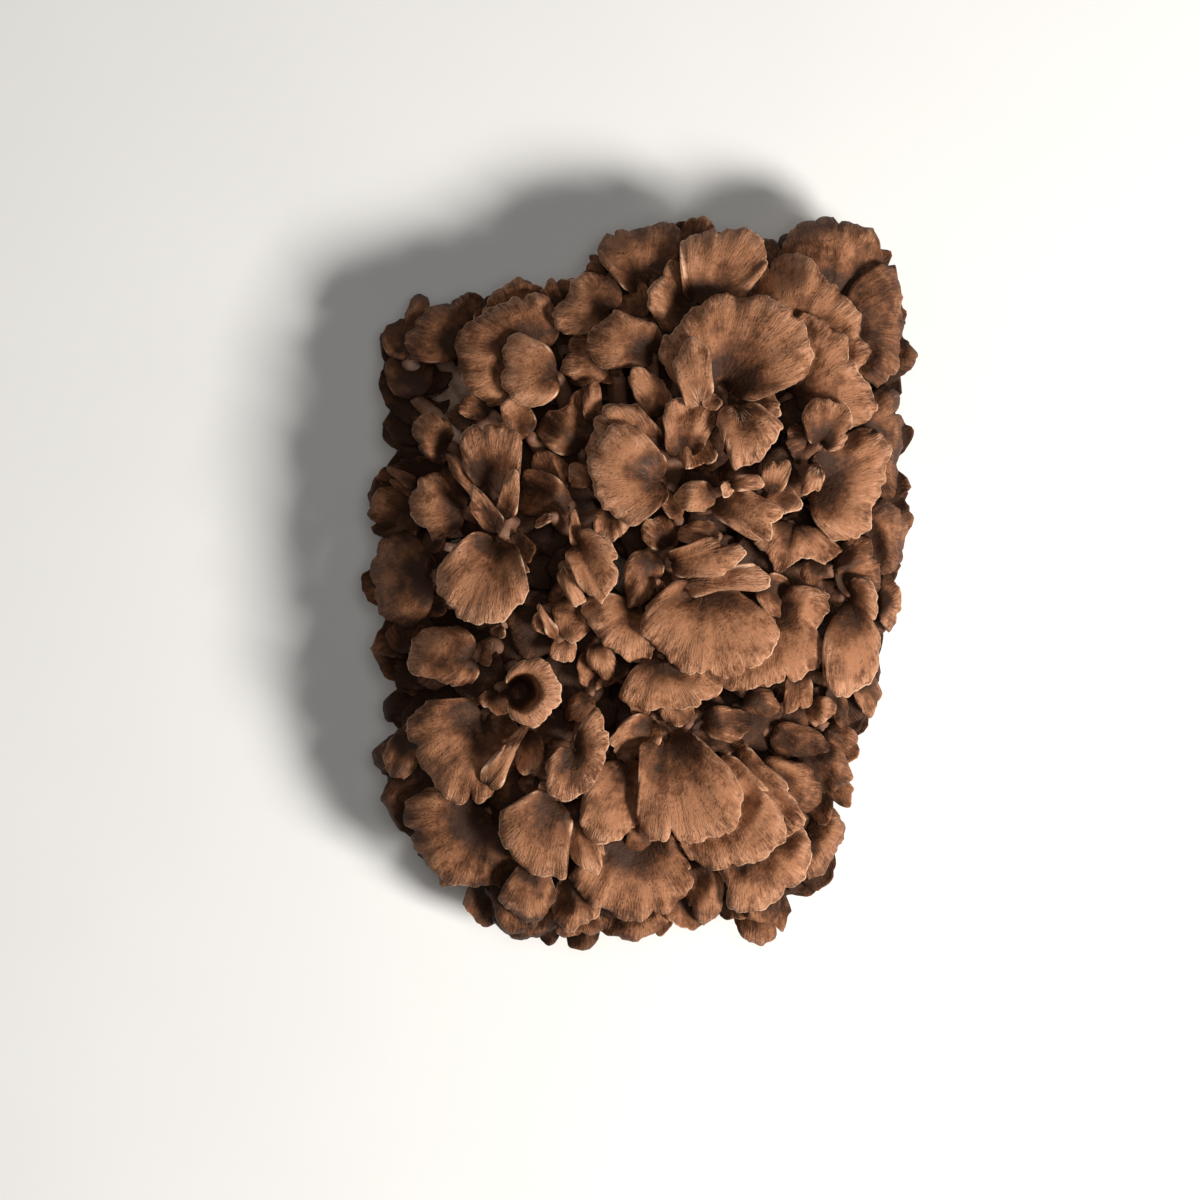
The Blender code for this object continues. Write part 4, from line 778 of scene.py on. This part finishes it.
def frond_skin():
    """Brown skin streaked from the stalk outwards, with stains, dark specks and a pale rim line, and a porous
    cream underside. The top is also painted darker toward the stalk and where it lies deep under the dome, as
    painted shade, and lighter toward the rim, as painted light."""
    paint = Paint("frond_skin")
    out_share, seed, tone = paint.attribute("fan")
    along, out, margin = paint.attribute("edge")
    side = paint.node("ShaderNodeAttribute", {"attribute_name": "side"}).value("Fac")
    place = paint.node("ShaderNodeTexCoord").out("Object")

    broad = paint.noise(paint.together(along * 0.30 + seed * 13.0, out * 0.06, seed), 1.0, 2.0, 0.5)
    streak = paint.noise(paint.together(along * 1.2 + seed * 7.0, out * 0.26, seed * 3.0), 1.0, 3.0, 0.65)
    fine = paint.noise(paint.together(along * 2.6 + seed * 5.0, out * 0.62, seed * 2.0), 1.0, 3.0, 0.65)
    blotch = paint.noise(place, 210.0, 5.0, 0.68)
    patch = paint.noise(place, 55.0, 2.0, 0.5)
    grain = paint.noise(place, 1500.0, 3.0, 0.6)
    outward = out_share.ramp(0.25, 0.95)
    lines = (streak - 0.5) * 0.8 * outward + (fine - 0.5) * 1.3 * outward + (broad - 0.5) * 0.6

    # painted shade and painted light: darker toward the stalk and by the depth carried in the tone, lighter
    # toward the rim; the streaks, blotches, patches and random tone are the skin's own
    painted_light_streaks_and_tone = out_share.ramp(0.05, 0.75) * 0.75 + lines * 0.8 + tone
    painted_light_streaks_and_tone = painted_light_streaks_and_tone + (blotch - 0.5) * 2.1 + (patch - 0.5) * 1.2
    colour = paint.mix(painted_light_streaks_and_tone.ramp(-0.15, 0.45), PAINTED_SHADE_BROWN, BROWN)
    colour = paint.mix(painted_light_streaks_and_tone.ramp(0.25, 0.85), colour, FAN_BROWN)
    # painted light: a lighter band near the rim, where the caps catch the light, broken up by the streaks and
    # blotches
    outer = 0.30 + (streak - 0.45) * 2.0 + (blotch - 0.5) * 1.6 + tone
    outer = margin.ramp(6.0, 0.3) * out_share.ramp(0.3, 0.7) * outer
    colour = paint.mix(outer.ramp(0.1, 0.75) * 0.8, colour, LIGHT_TAN)
    dashes = (fine - 0.5).ramp(0.10, 0.20) * (streak - 0.5).ramp(-0.04, 0.08) * outward
    colour = paint.mix(dashes * (0.85 + tone), colour, LIGHT_TAN)
    dark_dashes = (0.5 - fine).ramp(0.11, 0.22) * (0.5 - blotch).ramp(-0.05, 0.10) * outward
    colour = paint.mix(dark_dashes * 0.8, colour, BROWN)
    shade = margin.ramp(3.2, 0.8) * (blotch - 0.5).ramp(0.04, 0.16) * 0.8
    colour = paint.mix(shade, colour, BROWN)
    stains = (0.5 - blotch).ramp(0.03, 0.13) * (patch - 0.5).ramp(0.02, 0.12)
    colour = paint.mix(stains * 0.75, colour, BROWN)
    pale = out_share.ramp(0.42, 0.10) * (streak - 0.5).ramp(0.0, 0.10) * tone.ramp(0.04, 0.09)
    colour = paint.mix(pale * 0.8, colour, PALE_RIM)
    line = margin.ramp(0.45, 0.12) * out_share.ramp(0.30, 0.60) * (0.55 + (blotch - 0.5) * 3.0 + tone)
    colour = paint.mix(line.ramp(0.05, 0.85) * 0.9, colour, PALE_RIM)
    dots = paint.node("ShaderNodeTexVoronoi", {"feature": "F1"}, {"Vector": place, "Scale": 1100.0}).value(0)
    dots = dots.ramp(0.30, 0.16) * (paint.noise(place, 420.0) - 0.5).ramp(0.04, 0.12)
    colour = paint.mix(dots * 0.6, colour, SPECK)
    pores = paint.node("ShaderNodeTexVoronoi", {"feature": "F1"}, {"Vector": place, "Scale": 2600.0}).value(0)
    below = paint.mix(pores.ramp(0.35, 0.1) * 0.8, CREAM, PORE)
    below = paint.mix((blotch - 0.5).ramp(0.0, 0.2) * 0.5, below, PORE)
    colour = paint.mix(side.ramp(0.35, 0.9), colour, below)
    height = lines * 1.1 + dashes * 0.6 - dark_dashes * 0.4 + (blotch - 0.5) * 1.3
    height = height + (grain - 0.5) * 0.6 - stains * 0.3 - dots * 0.2
    height = height - pores.ramp(0.35, 0.1) * side
    roughness = 0.66 + (blotch - 0.5) * 0.3 + (fine - 0.5) * 0.2
    paint.shader.inputs["Specular IOR Level"].default_value = 0.18
    return paint.finish(colour, roughness, height, 0.0004, 0.9)


def stem_skin():
    """Cream flesh with faint fibres that run up the branches, browner higher up where they reach the caps:
    partly the real brown of the upper stalks, partly painted shade on the stalks that show in the gaps
    between caps.
    """
    paint = Paint("stem_skin")
    place = paint.node("ShaderNodeTexCoord").out("Object")
    parts = paint.node("ShaderNodeSeparateXYZ", None, {0: place})
    x, y, z = parts.value(0), parts.value(1), parts.value(2)
    fibres = paint.noise(paint.together(x * 900.0, y * 900.0, z * 160.0), 1.0, 3.0, 0.6)
    blotch = paint.noise(place, 90.0, 3.0, 0.55)
    grain = paint.noise(place, 900.0, 3.0, 0.6)
    # browner higher up: partly the real brown of the upper stalks, partly painted shade on the stalks that
    # show in the gaps
    up = (z * 1000.0 + (blotch - 0.5) * 14.0).ramp(8.0, 20.0)
    colour = paint.mix((fibres - 0.5).ramp(-0.1, 0.15) * 0.5, CREAM, PORE)
    colour = paint.mix((blotch - 0.5).ramp(0.02, 0.2) * 0.6, colour, BROWN)
    colour = paint.mix(up * 0.95, colour, BROWN)
    height = (fibres - 0.5) + (grain - 0.5) * 0.5 + (blotch - 0.5)
    return paint.finish(colour, 0.7 + (blotch - 0.5) * 0.3, height, 0.0004, 0.7)


def floor_paint():
    """Plain pale paper with the faintest mottle."""
    paint = Paint("floor_paint")
    place = paint.node("ShaderNodeTexCoord").out("Object")
    mottle = paint.noise(place, 25.0, 3.0, 0.5)
    colour = paint.mix(mottle, (0.76, 0.75, 0.73), (0.80, 0.79, 0.77))
    return paint.finish(colour, 0.85 + (mottle - 0.5) * 0.1, mottle, 0.0001, 0.2)


def outline(turn, share):
    """A place in plan in a direction from the dome's middle, at a share of the way to the outline."""
    return DOME_MIDDLE + share * reach_of_outline(turn) * np.array([math.cos(turn), math.sin(turn)])


def inner_caps():
    """Hidden caps that fill the room below the others, in two layers: on a skewed grid, each leaning out from
    the middle. The lower layer's are wider, and keep farther from the outline."""
    caps = []
    for depth, half, farthest, shade in INNER_LAYERS:
        for row in range(-10, 11):
            for column in range(-8, 9):
                k = 31 * row + 17 * column
                start = DOME_MIDDLE + np.array([INNER_ACROSS * (column + 0.5 * (row % 2)), INNER_DOWN * row])
                start = start + 2.0 * np.array([math.sin(1.9 * k), math.cos(2.7 * k)])
                run = start - DOME_MIDDLE
                turn = math.atan2(run[1], run[0])
                if np.linalg.norm(run) > farthest * reach_of_outline(turn):
                    continue
                turn = turn + 1.1 * math.sin(4.1 * k)
                ahead = np.array([math.cos(turn), math.sin(turn)])
                tip = start + (INNER_LENGTH + 2.5 * math.sin(1.3 * k)) * ahead
                rim = lobe_rim(start, tip, half + 1.3 * math.sin(2.2 * k))
                level = depth + 1.2 * math.sin(3.3 * k)
                # painted shade: these hidden caps are painted dark so that the gaps above them look shaded;
                # the sine is a random difference in tone
                tone = shade + 0.10 * math.sin(5.0 * k)
                caps.append(Cap("fan", level, start, rim, 0.37 * k % SEEDS, INNER_STEP, tone))
    return caps


def skirt_caps():
    """Caps round the sides, in rows one below another, leaning out and down like shingles."""
    caps = []
    for row, (count, share, depth, half) in enumerate(SKIRT_ROWS):
        for k in range(count):
            turn = 2 * math.pi * (k + 0.37 * row) / count + 0.05 * math.sin(3.7 * k + row)
            start = outline(turn, share)
            farther = share + SKIRT_REACH + 0.03 * math.sin(1.7 * k + row)
            tip = outline(turn + 0.06 * math.sin(2.3 * k), farther)
            rim = lobe_rim(start, tip, half + 1.2 * math.sin(2.9 * k + row), 0.7 * k)
            level = depth + 0.7 * math.sin(1.1 * k)
            # painted shade: these low caps are painted a little darker on the whole; the sine is a random
            # difference in tone
            tone = -0.10 + 0.10 * math.sin(4.3 * k)
            caps.append(Cap("fan", level, start, rim, (0.61 * k + row) % SEEDS, SKIRT_STEP, tone))
    return caps


def main():
    skin = frond_skin()
    flesh = stem_skin()

    groups = {}
    for k, (name, style, level, root, rim) in enumerate(CAPS):
        tone = 0.10 * math.sin(2.3 * k)
        groups[name] = [Cap(style, level, root, rim, 0.83 * k % SEEDS, tone=tone)]
    for name, rows in LOBES.items():
        lobes = []
        for k, (x, y, tip_x, tip_y, half, level) in enumerate(rows):
            rim = lobe_rim((x, y), (tip_x, tip_y), half, 0.9 * k + 1.0)
            style = LOBE_STYLES[k % len(LOBE_STYLES)]
            tone = 0.14 * math.sin(1.9 * k)
            lobes.append(Cap(style, level, (x, y), rim, 1.31 * k % SEEDS, LOBE_STEP, tone))
        groups[name] = lobes
    stalked = [cap for caps in groups.values() for cap in caps]
    groups["skirt_caps"] = skirt_caps()
    groups["inner_caps"] = inner_caps()

    cells = int(2 * MAP_HALF / MAP_CELL) + 1
    room = np.full((cells, cells), 1000.0)
    for cap in sorted((cap for caps in groups.values() for cap in caps), key=lambda cap: cap.level):
        press(cap, room)
        lay(cap, room)

    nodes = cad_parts
    for name, caps in groups.items():
        piece = caps_piece(name + "_finished" if name in nodes else name, caps, skin)
        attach(piece, "root")
        if name in nodes:
            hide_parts(name)
    stem = stem_piece(stalked, flesh)
    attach(stem, "root")
    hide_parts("stem")

    floor_mesh = bpy.data.meshes.new("floor")
    corners = [(-1.5, -1.5, 0), (1.5, -1.5, 0), (1.5, 1.5, 0), (-1.5, 1.5, 0)]
    floor_mesh.from_pydata(corners, [], [(0, 1, 2, 3)])
    add_piece("floor", floor_mesh, floor_paint())


def add_light(name, place, size, power, colour):
    """A soft square lamp that faces the cluster's middle."""
    data = bpy.data.lights.new(name, "AREA")
    data.size = size
    data.energy = power
    data.color = colour
    lamp = bpy.data.objects.new(name, data)
    bpy.context.scene.collection.objects.link(lamp)
    lamp.location = place
    aim = -lamp.location.normalized()
    lamp.rotation_euler = aim.to_track_quat("-Z", "Y").to_euler()


def add_camera():
    """A camera that looks straight down, with a frame as wide as given at the caps' height."""
    view_middle = (-0.006, -0.003)
    view_width = 0.240
    camera_height = 0.80
    caps_height = 0.035
    data = bpy.data.cameras.new("camera")
    data.lens = data.sensor_width * (camera_height - caps_height) / view_width
    camera = bpy.data.objects.new("camera", data)
    camera.location = (*view_middle, camera_height)
    bpy.context.scene.collection.objects.link(camera)
    bpy.context.scene.camera = camera


main()
add_light("key", (0.60, -0.32, 0.58), 0.25, 13.0, (1.0, 0.98, 0.95))
add_light("fill", (-0.50, 0.35, 0.60), 0.60, 0.6, (0.96, 0.98, 1.0))
add_light("top", (0.05, 0.05, 0.95), 0.30, 1.4, (1.0, 1.0, 1.0))
world = bpy.data.worlds.new("studio")
world.use_nodes = True
world.node_tree.nodes["Background"].inputs["Color"].default_value = (1.0, 0.97, 0.93, 1.0)
world.node_tree.nodes["Background"].inputs["Strength"].default_value = 0.04
bpy.context.scene.world = world
bpy.context.scene.view_settings.view_transform = "Standard"
add_camera()
